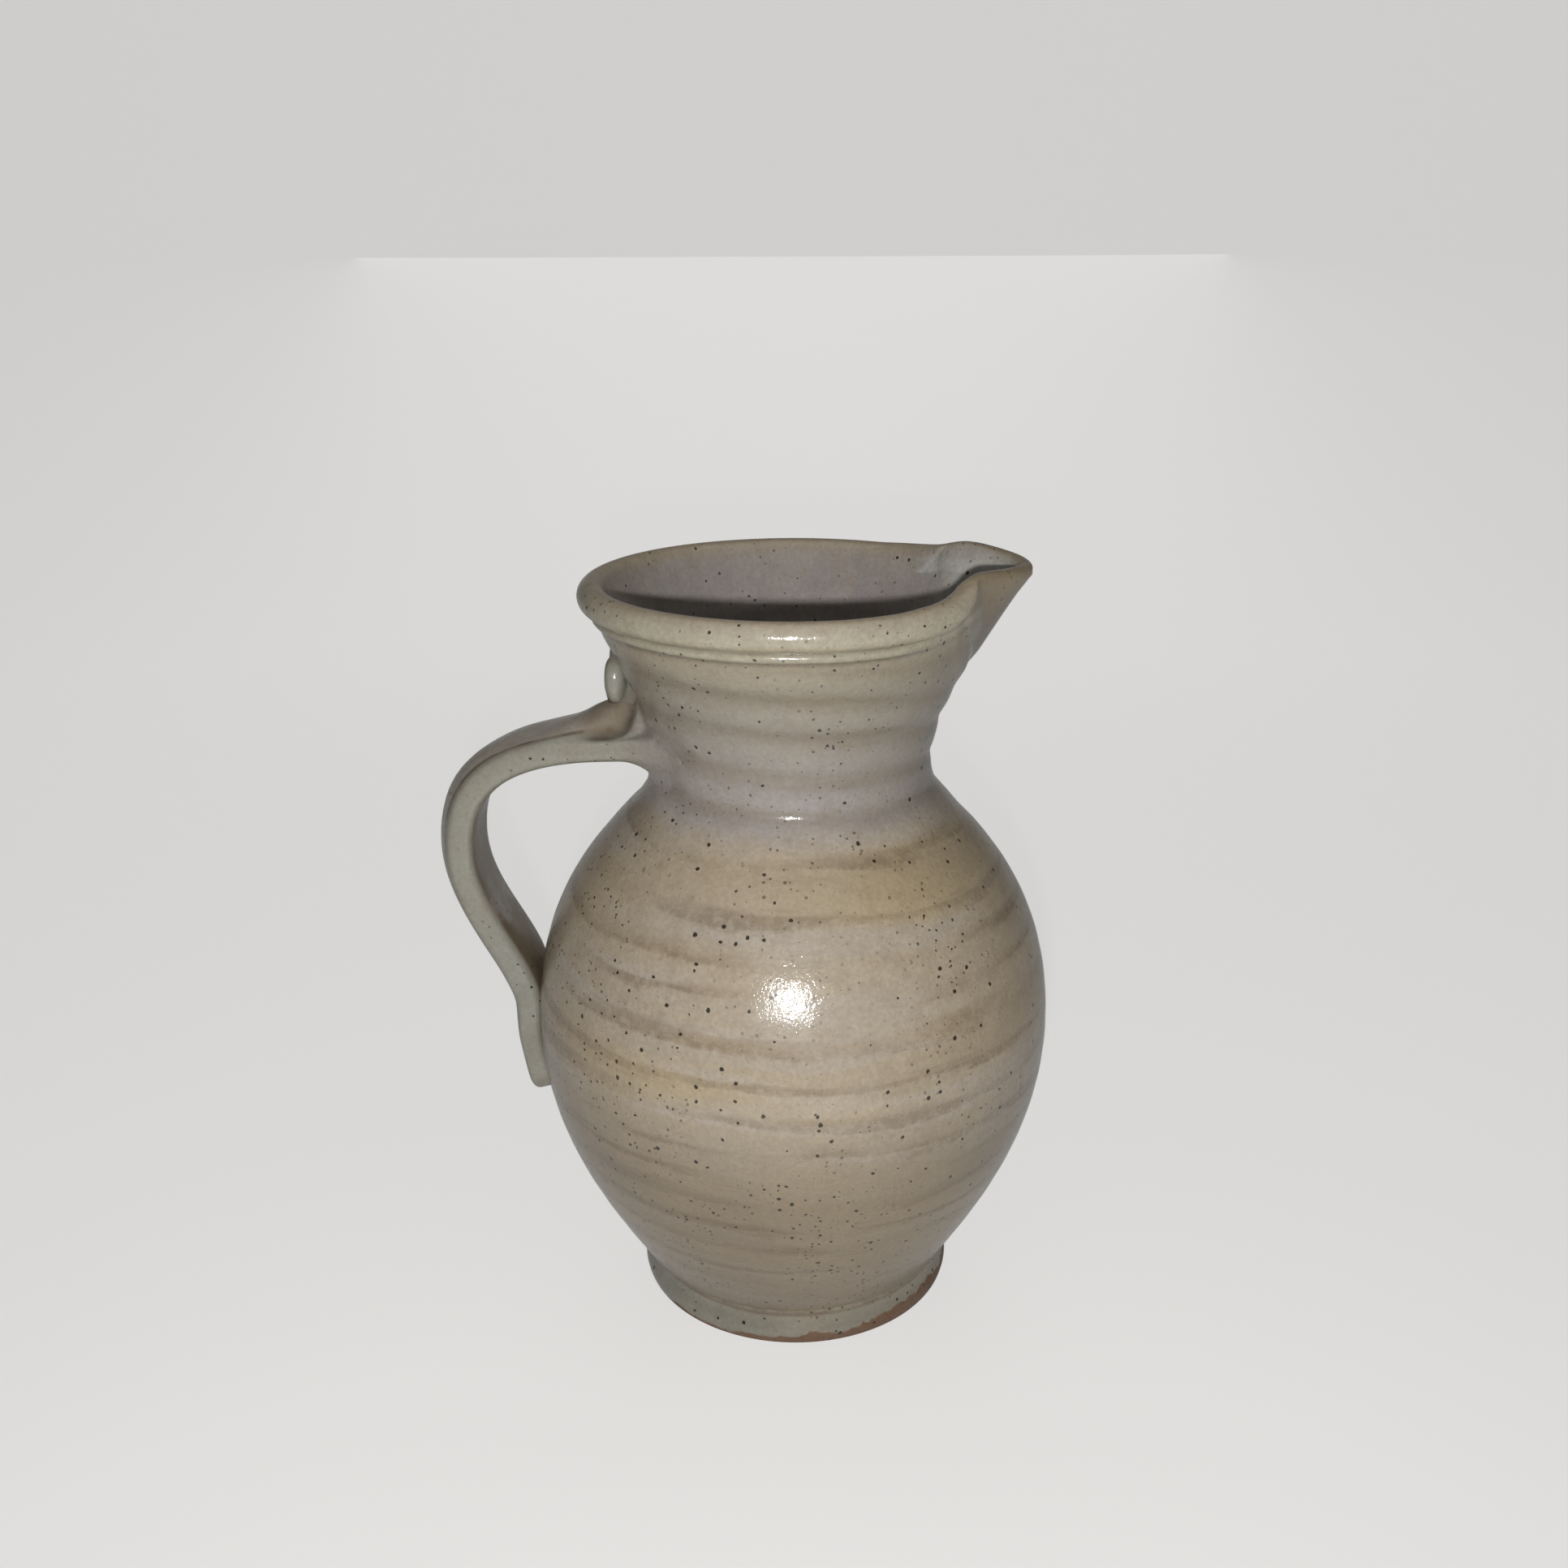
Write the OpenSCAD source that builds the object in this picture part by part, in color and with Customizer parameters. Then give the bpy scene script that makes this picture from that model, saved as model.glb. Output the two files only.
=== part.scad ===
// Stoneware pitcher: a thrown body with a rolled rim, a beak let into a cut in that rim,
// a pulled strap handle, and a thumb stop pressed on above the handle's root.
// Millimetres. The origin is on the body's axis, in the plane that the foot stands on.
// +X points along the beak, -X along the handle and +Z up.

/* [Body] */
// Height from the standing plane to the crest of the rim
body_height = 240; // [230:1:256]
// Diameter of the belly at its widest
belly_d = 166; // [154:1:178]
// Height of the belly's widest point
belly_z = 95.5; // [88:0.5:104]
// Diameter of the neck at its narrowest
neck_d = 86.6; // [80:0.2:94]
// Drop from the rim's crest to the neck's narrowest point
neck_drop = 58; // [53:0.5:63]
// Thickness of the thrown wall
wall = 6; // [4.5:0.1:7.5]
// Thickness of the floor
floor_t = 9; // [7:0.5:12]
// Lean of the wall out of the waist, from the vertical, in degrees
lower_lean = 30.5; // [24:0.5:36]
// Lean of the neck where it meets the rim, from the vertical, in degrees
flare_lean = 25.4; // [18:0.2:32]

/* [Throwing rings] */
// Height of one throwing ring
ring_pitch = 11.5; // [8:0.5:16]
// Rise of a ring over the mean wall at the neck
ring_depth = 0.45; // [0:0.05:0.8]
// Share of that rise that is left on the belly
ring_belly_share = 0.4; // [0:0.05:1]
// Height over which the rings die away at the waist and under the rim
ring_fade = 14; // [8:1:24]

/* [Foot] */
// Diameter of the foot at its edge
foot_d = 103.6; // [96:0.2:110]
// Diameter of the tooled waist above the foot
waist_d = 100.2; // [92:0.2:106]
// Height of the waist above the standing plane
waist_z = 9.4; // [7:0.2:12]
// Swell of the foot past its edge
foot_swell = 1.4; // [0.4:0.1:2]
// Bevel round the foot's lower edge
foot_bevel = 1.4; // [0.6:0.1:2.5]

/* [Rim] */
// Diameter of the circle that the rim's crest follows
rim_d = 121; // [114:0.5:126]
// Thickness of the rolled rim
roll_d = 8.8; // [7.4:0.1:10]
// Height of the small bead under the roll
bead_d = 3.2; // [2.4:0.1:4]
// How far the bead stands out of the neck
bead_proud = 1.7; // [1:0.1:2.2]
// How far the roll's middle overhangs the top of the neck
roll_overhang = 1.2; // [0.4:0.1:2]
// Angle round from the beak at which the roll and the bead begin to end, in degrees
rim_stop = 46; // [44:0.5:56]
// Length of the roll's rounded end
roll_taper = 13; // [8:0.5:15]
// Upward tilt of that end towards the beak, in degrees
roll_tilt = 12; // [4:1:18]

/* [Beak] */
// Distance from the axis to the tip of the beak
beak_reach = 72.6; // [69:0.2:80]
// Width of the cut in the rim that takes the beak
beak_cut_w = 72; // [60:1:78]
// Depth of that cut below the rim's crest
beak_cut_depth = 31; // [26:0.5:36]
// Width of the foot of the cut
beak_toe_w = 8; // [5:0.5:12]
// How far the beak's toe stands out of the neck
beak_toe_proud = 1.8; // [0.5:0.1:3]
// Thickness of the beak at its lip
lip_t = 4.2; // [3.2:0.1:5.4]
// Rise of the tip over the rim's crest
tip_rise = 2.6; // [0:0.1:5]
// Further rise of the two cheeks between the tip and the cut
cheek_rise = 4.4; // [0:0.1:6]
// Hollow of the keel's line under the beak
keel_sag = 0.7; // [0:0.1:1.5]
// Roundness of the keel, from sharp to round
keel_round = 0.28; // [0.12:0.01:0.6]

/* [Handle] */
// Distance from the axis to the middle of the strap at its bow
handle_reach = 104.4; // [98:0.2:114]
// Height of the strap's middle, where it leaves the neck, over the neck's narrowest point
root_over_neck = 6.5; // [2:0.5:11]
// Drop from there to the bow's furthest point
bow_drop = 34.5; // [26.5:0.5:42.5]
// Height over the belly's widest point at which the strap comes to lie on the body
landing_over_belly = 4.5; // [-1.5:0.5:12.5]
// Length of the tail that is pressed down the belly
tail_len = 33; // [24:0.5:38]
// Width of the strap
strap_w = 28; // [22:0.5:34]
// Thickness of the strap
strap_t = 9.8; // [8:0.1:12]
// Thickness of the tail over the belly
tail_t = 7.2; // [5:0.1:9]
// Width of the tail near its end
tail_w = 24; // [18:0.5:28]
// Rise of the low spine along the strap's outer face
spine = 3; // [0:0.1:4]
// Depth of the web that fills the corner under the root
root_web = 9; // [4:0.5:11]
// Length of that web along the strap
root_web_len = 12; // [8:0.5:16]
// Rise of the root's crown towards the thumb stop
root_rise = 7.5; // [5:0.5:9]
// Length of that rise along the strap
root_rise_len = 34; // [26:1:40]

/* [Thumb stop] */
// Width of the thumb stop across the handle
stop_w = 23; // [17:0.5:27]
// Height of the thumb stop
stop_h = 23.5; // [19:0.5:24.5]
// How far the thumb stop stands out of the neck
stop_proud = 7.2; // [6.5:0.1:9.5]
// Depth of the thumb's dent in its face
stop_dent = 2; // [0:0.1:3]

/* [Hidden] */

glaze_tan = [0.64, 0.57, 0.47];
glaze_grey = [0.62, 0.58, 0.54];
glaze_celadon = [0.58, 0.57, 0.50];

round_fn = 180;
curve_steps = 40;
foot_steps = 8;
corner_steps = 8;
welt_sides = 40;
end_steps = 14;

belly_r = belly_d / 2;
neck_r = neck_d / 2;
foot_r = foot_d / 2;
waist_r = waist_d / 2;
rim_r = rim_d / 2;
roll_r = roll_d / 2;
bead_r = bead_d / 2;
// The neck hangs from the rim, the handle's root from the neck, and its landing from the belly
neck_z = body_height - neck_drop;
root_z = neck_z + root_over_neck;
bow_z = root_z - bow_drop;
landing_z = belly_z + landing_over_belly;
// The neck ends under the bead, and the bead under the roll
flare_z = body_height - roll_d - bead_d;
flare_r = rim_r - roll_overhang;
roll_centre = [rim_r, body_height - roll_r];
bead_centre = [flare_r + bead_proud - bead_r, flare_z + bead_r];
// Where the beak's cut ends, and the half widths of its foot and of its mouth at the crest
toe_z = body_height - beak_cut_depth;
toe_half = beak_toe_w / 2;
cut_half = beak_cut_w / 2;

// Pulls: how far each curve of the wall holds its direction before it bends to the next,
// as shares of the curve's own height
waist_pull = 0.302 * (belly_z - waist_z);
belly_pull_down = 0.416 * (belly_z - waist_z);
belly_pull_up = 0.659 * (neck_z - belly_z);
neck_pull_down = 0.197 * (neck_z - belly_z);
neck_pull_up = 0.248 * (flare_z - neck_z);
flare_pull = 0.641 * (flare_z - neck_z);
// Radius of the corner between the floor and the wall inside
floor_corner = 14;
// Height, as a share of the waist's, to which the foot holds the waist's line
foot_hold = 0.7;
// Drop of the lip's rounded edges, as a share of the lip's thickness
lip_round = 0.35;
// Swell of the roll's and the bead's rounded ends over their own thickness
end_swell = 1.03;

function bezier(p, t) =
    pow(1 - t, 3) * p[0] + 3 * pow(1 - t, 2) * t * p[1]
    + 3 * (1 - t) * t * t * p[2] + pow(t, 3) * p[3];
function along(p, steps, from = 0) = [for (i = [from:steps]) bezier(p, i / steps)];
function mix(a, b, t) = a + (b - a) * t;
function clamp01(t) = max(0, min(1, t));
function smooth01(t) = let (c = clamp01(t)) c * c * (3 - 2 * c);
function unit(v) = v / norm(v);
function flipped(list) = [for (i = [len(list) - 1:-1:0]) list[i]];
function from_second(list) = [for (i = [1:len(list) - 1]) list[i]];
function sign_pow(x, e) = sign(x) * pow(abs(x), e);

// The wall's mean line from the waist to the bead, as [radius, height]
waist_curve = [
    [waist_r, waist_z],
    [waist_r, waist_z] + waist_pull * [sin(lower_lean), cos(lower_lean)],
    [belly_r, belly_z - belly_pull_down],
    [belly_r, belly_z]
];
shoulder_curve = [
    [belly_r, belly_z],
    [belly_r, belly_z + belly_pull_up],
    [neck_r, neck_z - neck_pull_down],
    [neck_r, neck_z]
];
neck_curve = [
    [neck_r, neck_z],
    [neck_r, neck_z + neck_pull_up],
    [flare_r, flare_z] - flare_pull * [sin(flare_lean), cos(flare_lean)],
    [flare_r, flare_z]
];
mean_wall = concat(
    along(waist_curve, curve_steps),
    along(shoulder_curve, curve_steps, 1),
    along(neck_curve, curve_steps, 1));
wall_end = len(mean_wall) - 1;

// Fingers leave the same ring in both faces of the wall
function ring(z) =
    ring_depth * mix(ring_belly_share, 1, smooth01((z - belly_z) / (neck_z - belly_z)))
    * cos(360 * (z - neck_z) / ring_pitch)
    * smooth01((z - waist_z) / ring_fade) * smooth01((flare_z - z) / ring_fade);
outer_wall = [for (p = mean_wall) p + [ring(p[1]), 0]];
function wall_normal(i) =
    let (d = mean_wall[min(i + 1, wall_end)] - mean_wall[max(i - 1, 0)]) unit([d[1], -d[0]]);
inner_wall = [for (i = [0:wall_end]) outer_wall[i] - wall * wall_normal(i)];
standing_wall = [for (p = inner_wall) if (p[1] > floor_t + floor_corner) p];

outer_table = [for (p = outer_wall) [p[1], p[0]]];
inner_table = [for (p = inner_wall) [p[1], p[0]]];
function outer_radius(z) = lookup(z, outer_table);
function inner_radius(z) = lookup(z, inner_table);

foot_line = concat(
    [[foot_r - foot_bevel, 0]],
    along([
        [foot_r, foot_bevel],
        [foot_r + foot_swell, waist_z / 2],
        [waist_r, waist_z * foot_hold],
        [waist_r, waist_z]
    ], foot_steps));
// Above the neck the bare lip is the same on the body and on the beak: it leans on out to the
// crest, and its edges are rounded off
lip_edge = body_height - lip_t * lip_round;
function lip_share(z) = (z - flare_z) / (body_height - flare_z);
function edge_outer(z) = z < flare_z ? outer_radius(z) : mix(flare_r, rim_r + lip_t / 2, lip_share(z));
function edge_inner(z) = z < flare_z ? inner_radius(z)
    : mix(inner_radius(flare_z), rim_r - lip_t / 2, lip_share(z));
lip_line = [[edge_outer(lip_edge), lip_edge], [rim_r, body_height], [edge_inner(lip_edge), lip_edge]];
outer_line = concat([[0, 0]], foot_line, from_second(outer_wall), lip_line);
// The floor runs into the wall through a rounded corner
corner_top = standing_wall[0];
corner_drop = corner_top[1] - floor_t;
corner_line = [for (i = [1:corner_steps]) let (a = 90 * i / corner_steps)
    corner_top - [floor_corner * (1 - cos(a)), corner_drop * sin(a)]];
inner_line = concat(flipped(standing_wall), corner_line, [[0, floor_t]]);

// Everything inside the body's outer face, which the applied pieces are seated against
module body_envelope() {
    rotate_extrude($fn = round_fn)
        polygon(concat(outer_line, [[0, lip_edge]]));
}

module thrown_wall() {
    rotate_extrude($fn = round_fn)
        polygon(concat(outer_line, inner_line));
}

// Half width of the beak's cut at a height
function cut_width(z) = mix(toe_half, cut_half, (z - toe_z) / beak_cut_depth);

module beak_cut() {
    top = body_height + roll_d;
    rotate([90, 0, 90])
        linear_extrude(height = rim_d)
            polygon([[-toe_half, toe_z], [toe_half, toe_z], [cut_width(top), top], [-cut_width(top), top]]);
}

// A round welt that follows the lip from one side of the beak to the other
module lip_welt(centre, r) {
    rotate([0, 0, rim_stop])
        rotate_extrude(angle = 360 - 2 * rim_stop, $fn = round_fn)
            translate(centre)
                circle(r, $fn = welt_sides);
}

// The welt's rounded end: it runs straight on towards the beak, and tilts up
module welt_end(centre, r, length, tilt) {
    rotate([0, 0, rim_stop])
        translate([centre[0], 0, centre[1]])
            rotate([90 - tilt, 0, 0])
                rotate_extrude($fn = welt_sides)
                    polygon([for (i = [0:end_steps]) let (a = mix(-90, 90, i / end_steps))
                        [r * cos(a), length * sin(a)]]);
}

// The lip rolled outwards, over a small bead
module rolled_rim() {
    lip_welt(roll_centre, roll_r);
    lip_welt(bead_centre, bead_r);
    for (side = [0, 1])
        mirror([0, side, 0]) {
            welt_end(roll_centre, roll_r * end_swell, roll_taper, roll_tilt);
            welt_end(bead_centre, bead_r * end_swell, bead_d, 0);
        }
}

module thrown_body() {
    color(glaze_tan)
        difference() {
            union() {
                thrown_wall();
                rolled_rim();
            }
            beak_cut();
        }
}

// Skins closed loops of equal length into a solid, with flat ends
module loft(loops) {
    count = len(loops);
    sides = len(loops[0]);
    points = [for (loop = loops) for (p = loop) p];
    skin = [for (i = [0:count - 2]) for (j = [0:sides - 1])
        let (a = i * sides + j, b = i * sides + (j + 1) % sides, c = b + sides, d = a + sides)
            each [[a, b, c], [a, c, d]]];
    first = [for (j = [sides - 1:-1:0]) j];
    last = [for (j = [0:sides - 1]) (count - 1) * sides + j];
    polyhedron(points = points, faces = concat([first], skin, [last]), convexity = 6);
}

beak_columns = 28;
beak_rows = 12;
// Thickness of the keel at the lip, as a share of the lip's own
keel_thick = 1.3;
// Falls from 1 at the keel to 0 at the sides of the cut
function keel_bend(q) = sqrt(q * q + keel_round * keel_round) - keel_round;
function keel_share(q) = 1 - keel_bend(q) / keel_bend(1);
// How near the cheeks stand to the cut: 1 is half way to the tip, and more is nearer
cheek_near = 2;
function lip_z(q) =
    body_height + tip_rise * (1 - q * q) + cheek_rise * sin(180 * pow(abs(q), cheek_near));
function keel_outer(v) =
    mix(outer_radius(toe_z) + beak_toe_proud, beak_reach, v) - keel_sag * sin(180 * v);
function keel_inner(v) = mix(inner_radius(toe_z), beak_reach - lip_t * keel_thick, v);
function across(radius, half) = sqrt(radius * radius - half * half);

function beak_point(q, v, drop, outside) =
    let (
        top = lip_z(q) - drop,
        z = mix(toe_z, top, v),
        edge_z = mix(toe_z, body_height - drop, v),
        half = cut_width(edge_z),
        edge = outside ? across(edge_outer(edge_z), half) : across(edge_inner(edge_z), half),
        keel = outside ? keel_outer(v) : keel_inner(v)
    )
    [mix(edge, keel, keel_share(q)), q * half, z];

// One section of the beak: up the outer face, over the lip and down the inner face
function beak_loop(q) =
    let (round_off = lip_t * lip_round)
    concat(
        [for (j = [0:beak_rows]) beak_point(q, j / beak_rows, round_off, true)],
        [(beak_point(q, 1, 0, true) + beak_point(q, 1, 0, false)) / 2],
        [for (j = [beak_rows:-1:0]) beak_point(q, j / beak_rows, round_off, false)]);

module beak_spout() {
    color(glaze_tan)
        loft([for (i = [0:beak_columns]) beak_loop(2 * i / beak_columns - 1)]);
}

root_steps = 26;
drop_steps = 18;
tail_steps = 10;
section_sides = 32;
// How far the root and the tail run into the body before they are cut to seat on it
root_bury = 4;
tail_bury = 1.5;
// Pulls of the strap's middle line, as those of the wall, and the lift with which it leaves the neck
root_pull = 45;
root_lift = 2.5;
bow_pull_up = 28;
bow_pull_down = 22;
landing_pull = 10;
// Squareness of the strap's section: 1 is an oval, and less is squarer
strap_square = 0.45;
// Curves with which the web and the crown run out along the strap
web_curve = 2;
rise_curve = 1.15;
// Steps over which the strap turns into the tail, and how many of them are above the landing
tail_turn = 8;
tail_turn_above = 5;
// Width and thickness that are left at the tail's very end, as shares
tail_tip_w = 0.3;
tail_tip_t = 0.8;

// The strap's middle line in the XZ plane: out of the neck, round the bow, down to the belly and along it
function tail_x(z) = -(outer_radius(z) + (tail_t - tail_bury) / 2);
root_point = [-(outer_radius(root_z) - root_bury), root_z];
bow_point = [-handle_reach, bow_z];
landing_point = [tail_x(landing_z), landing_z];
landing_way = unit([tail_x(landing_z - 1) - tail_x(landing_z), -1]);
upper_strap = [
    root_point,
    root_point + [-root_pull, root_lift],
    bow_point + [0, bow_pull_up],
    bow_point
];
lower_strap = [
    bow_point,
    bow_point - [0, bow_pull_down],
    landing_point - landing_pull * landing_way,
    landing_point
];
strap_line = concat(
    along(upper_strap, root_steps),
    along(lower_strap, drop_steps, 1),
    [for (i = [1:tail_steps]) let (z = landing_z - tail_len * i / tail_steps) [tail_x(z), z]]);
strap_end = len(strap_line) - 1;
tail_first = root_steps + drop_steps;

function strap_way(i) = unit(strap_line[min(i + 1, strap_end)] - strap_line[max(i - 1, 0)]);
// Shares of the root's web and of its rise, from 1 at the neck to 0 where the strap is flat,
// and of the spine, which comes up from there to the bow
function root_gone(i) = norm(strap_line[i] - root_point) - root_bury;
function web_share(i) = pow(1 - clamp01(root_gone(i) / root_web_len), web_curve);
function rise_share(i) = pow(1 - clamp01(root_gone(i) / root_rise_len), rise_curve);
function spine_share(i) = smooth01(root_gone(i) / root_rise_len - 1) * (1 - tail_share(i));
// Share of the way from the strap to the tail, and the rounding of the tail's end
function tail_share(i) = smooth01((i - tail_first + tail_turn_above) / tail_turn);
function tail_end_share(i) =
    let (left = (strap_end - i) / tail_steps * tail_len / (tail_w / 2))
    left >= 1 ? 1 : max(tail_tip_w, sqrt(1 - pow(1 - left, 2)));
function width_at(i) =
    mix(strap_w, tail_w, tail_share(i)) * tail_end_share(i) + root_web / 2 * web_share(i);
function thick_at(i) =
    mix(strap_t, tail_t + tail_bury, tail_share(i)) * mix(tail_tip_t, 1, tail_end_share(i));
function crown_at(i) = root_rise * rise_share(i) + spine * spine_share(i);

// A strap section: rounded sides, a web under the root, and along the outer face a spine,
// which is a crown at the root, runs out, and comes up again at the bow
function strap_section(i) =
    [for (k = [0:section_sides - 1])
        let (
            a = 360 * k / section_sides,
            across_w = sign_pow(cos(a), strap_square),
            across_t = sign_pow(sin(a), strap_square),
            outer = across_t * thick_at(i) / 2 + crown_at(i) * pow(cos(90 * across_w), 2),
            inner = across_t * (thick_at(i) / 2 + root_web * web_share(i))
        )
        [across_w * width_at(i) / 2, across_t > 0 ? outer : inner]];
function strap_loop(i) =
    let (way = strap_way(i), out = [way[1], -way[0]], middle = strap_line[i])
    [for (p = strap_section(i)) [middle[0] + out[0] * p[1], p[0], middle[1] + out[1] * p[1]]];

module strap_sweep() {
    loft([for (i = [0:strap_end]) strap_loop(i)]);
}

module strap_handle() {
    color(glaze_celadon)
        difference() {
            strap_sweep();
            body_envelope();
        }
}

stop_sections = 18;
stop_sides = 28;
// How far the stop runs into the neck and into the root before it is cut to seat on them
stop_bury = 5;
stop_sink = 2.5;
// Squareness of the stop's section, as the strap's
stop_square = 0.8;
// Height of the cheeks' middle, and the cheeks' own height, as shares of the stop's
cheek_middle = 0.72;
cheek_height = 0.62;
// Curves of the rounded ends and of the fall to the cheeks, and the size that is left at the ends
stop_end_curve = 3;
stop_end_round = 0.45;
stop_end_left = 0.2;
cheek_curve = 1.5;
// The stop stands on the root's crown and leans on the neck above it
stop_foot_z = root_z + strap_t / 2 + root_rise - stop_sink;
stop_middle_z = stop_foot_z + stop_h / 2;
stop_depth = (stop_proud + stop_bury) / 2;

// The stop is tall in the middle, where the thumb dents it, and ends in two lower rounded cheeks
function stop_end(s) = max(stop_end_left, pow(1 - pow(abs(s), stop_end_curve), stop_end_round));
function cheek_share(s) = pow(abs(s), cheek_curve);
function stop_loop(s) =
    let (
        swell = stop_end(s),
        y = s * stop_w / 2,
        dent = stop_dent * pow(cos(90 * s), 2),
        x = -across(outer_radius(stop_middle_z) + stop_proud - stop_depth, y),
        z = stop_foot_z + stop_h / 2 * mix(1, cheek_middle, cheek_share(s)),
        half = stop_h / 2 * mix(1, cheek_height, cheek_share(s)) * swell
    )
    [for (k = [0:stop_sides - 1])
        let (a = 360 * k / stop_sides, out = sign_pow(cos(a), stop_square))
        [x - out * stop_depth * swell + dent * max(out, 0), y, z + sign_pow(sin(a), stop_square) * half]];

module thumb_stop() {
    color(glaze_grey)
        difference() {
            loft([for (i = [0:stop_sections]) stop_loop(1 - 2 * i / stop_sections)]);
            body_envelope();
            strap_sweep();
        }
}

thrown_body();
beak_spout();
strap_handle();
thumb_stop();
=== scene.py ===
"""Stoneware pitcher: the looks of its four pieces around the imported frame, laid out as an add-on."""

import math

import bmesh
import bpy
import numpy as np
from mathutils import Matrix, Vector


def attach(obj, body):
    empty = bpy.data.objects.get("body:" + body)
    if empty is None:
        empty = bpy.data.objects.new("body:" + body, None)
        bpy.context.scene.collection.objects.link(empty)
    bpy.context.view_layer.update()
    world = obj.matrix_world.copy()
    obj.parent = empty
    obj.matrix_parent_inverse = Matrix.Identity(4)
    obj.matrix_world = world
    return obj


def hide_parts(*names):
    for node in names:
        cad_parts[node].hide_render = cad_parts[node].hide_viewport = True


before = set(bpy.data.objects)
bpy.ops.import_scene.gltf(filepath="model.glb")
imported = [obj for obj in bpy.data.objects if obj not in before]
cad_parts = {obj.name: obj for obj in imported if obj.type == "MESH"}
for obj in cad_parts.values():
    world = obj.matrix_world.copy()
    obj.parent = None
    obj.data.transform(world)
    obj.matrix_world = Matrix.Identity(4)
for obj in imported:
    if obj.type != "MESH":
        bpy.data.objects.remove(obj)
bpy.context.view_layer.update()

bl_info = {
    "name": "Stoneware Pitcher",
    "version": (1, 0, 0),
    "blender": (4, 5, 0),
    "location": "3D View > Sidebar > Pitcher",
    "description": "Models a thrown stoneware pitcher with its beak, strap handle, thumb stop and glaze",
    "category": "Object",
}

# Shapes are worked out in millimetres, as in the part's source, and written in metres
MM = 0.001
# Points closer than these are merged: along a drawn line, on a finished surface and on a cut
LINE_MERGE = 0.01 * MM
SURFACE_MERGE = 0.004 * MM
CUT_MERGE = 0.001 * MM

# The thrown wall
BODY_HEIGHT = 240.0
BELLY_R = 83.0
BELLY_Z = 95.5
NECK_R = 43.3
NECK_Z = 182.0
SHOULDER_Z = 150.0
WALL = 6.0
FLOOR_T = 9.0
FLOOR_CORNER = 14.0
FOOT_R = 51.8
FOOT_BEVEL = 1.4
FOOT_SWELL = 1.4
FOOT_SHIFT = 0.7
FOOT_SHIFT_Z = 16.0
WAIST_R = 50.1
WAIST_Z = 9.4
TOOL_LINE_Z = 12.8
TOOL_LINE_WIDTH = 0.7
LOWER_LEAN = math.radians(30.5)
FLARE_LEAN = math.radians(25.4)
FLARE_R = 59.3
FLARE_Z = 228.0

# The rim: a roll over a bead, and the bare lip that is left between them and the beak
RIM_R = 60.5
ROLL_R = 4.4
ROLL_Z = BODY_HEIGHT - ROLL_R
BEAD_R = 1.6
BEAD_CENTRE = (59.4, 229.6)
LIP_T = 4.2
LIP_R = LIP_T / 2
LIP_Z = BODY_HEIGHT - LIP_R
LIP_SQUARE = 0.75
# The roll is drawn between these angles in degrees, and the lip's crest ends at the third
ROLL_FIRST = -60.0
ROLL_LAST = 160.0
CREST_LAST = 165.0
ROLL_FOOT_Z = 231.8
LINK_PULL = 2.2

# The beak's cut in the wall
TOE_Z = 209.0
TOE_HALF = 4.0
CUT_HALF = 36.0
BEAK_REACH = 72.6
KEEL_THICK = 1.3
KEEL_ROUND = 0.28
KEEL_SAG = 0.7
SEAM_EASE = 0.06
TOE_PROUD = 1.8
TIP_FACE = 0.96
LEAST_HALF = 0.5
# The beak and its cut lie beyond this distance from the axis
BEAK_SIDE_X = 20.0
# Degrees from the beak at which the roll starts to run out, less at its crest, and the bead ends
ROLL_END = 55.0
ROLL_END_LEAN = 13.0
ROLL_RUN_OUT = 10.0
BEAD_END = 45.0
BEAD_FADE = 18.0
# Smoothing marks along the beak's seam: strength, distance from it, width, and share of the finger's sway
SMEARS = ((0.35, 1.0, 2.6, 0.3), (0.8, 4.8, 1.7, 1.0), (0.6, 8.6, 1.6, 1.0))
SMEAR_SWAY = 0.7
# The turned sector that holds the beak is divided more finely than the rest
BEAK_SECTOR = math.radians(104)
BEAK_STEPS = 104
BACK_STEPS = 108

# The strap handle
HANDLE_REACH = 104.4
ROOT_Z = 188.5
BOW_Z = 154.0
LANDING_Z = 100.0
LANDING_PULL = 16.0
TAIL_LEN = 33.0
TAIL_T = 7.2
TAIL_W = 24.0
TAIL_END = 8.0
TAIL_BURY = 1.5
TAIL_BULGE = 4.0
TAIL_BULGE_Z = 92.0
TAIL_BULGE_HALF = 6.5
# The strap turns into its tail from so far before the landing, over that length
TAIL_BLEND_START = 13.0
TAIL_BLEND = 22.0
ROOT_BURY = 4.0
STRAP_SQUARE = 0.45
CROWN_RISE = 9.0
CROWN_LENGTH = 34.0
# Fillets with which the root spreads on the neck: at its sides, under it and over it
SIDE_FLARE = 14.0
UNDER_FLARE = 11.0
TOP_FLARE = 2.0
# The root follows the neck's round face within this distance
HUG_START = 22.0
HUG_LENGTH = 13.0
# The tongue on the root's top face: half its width, where its end starts to round, and how far it rounds
TONGUE_HALF = 12.0
TONGUE_START = 14.0
TONGUE_ROUND = 12.5
TONGUE_SCALE = 8.0
TONGUE_RISE = 1.0
TONGUE_FADE_START = 24.0
TONGUE_FADE = 9.0

# The thumb stop
STOP_W = 23.0
STOP_H = 23.5
STOP_PROUD = 7.2
STOP_BURY = 5.0
STOP_FOOT_Z = 198.4
STOP_DENT = 2.0
LOBE_REACH = 54.1
LOBE_DEPTH = 3.8
LOBE_Z = 209.1
LOBE_HEIGHT = 7.5
LOBE_PINCH = 1.8
SADDLE_Z = 209.6
SADDLE_HALF = 12.2
STOP_SQUARE = 0.85
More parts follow.
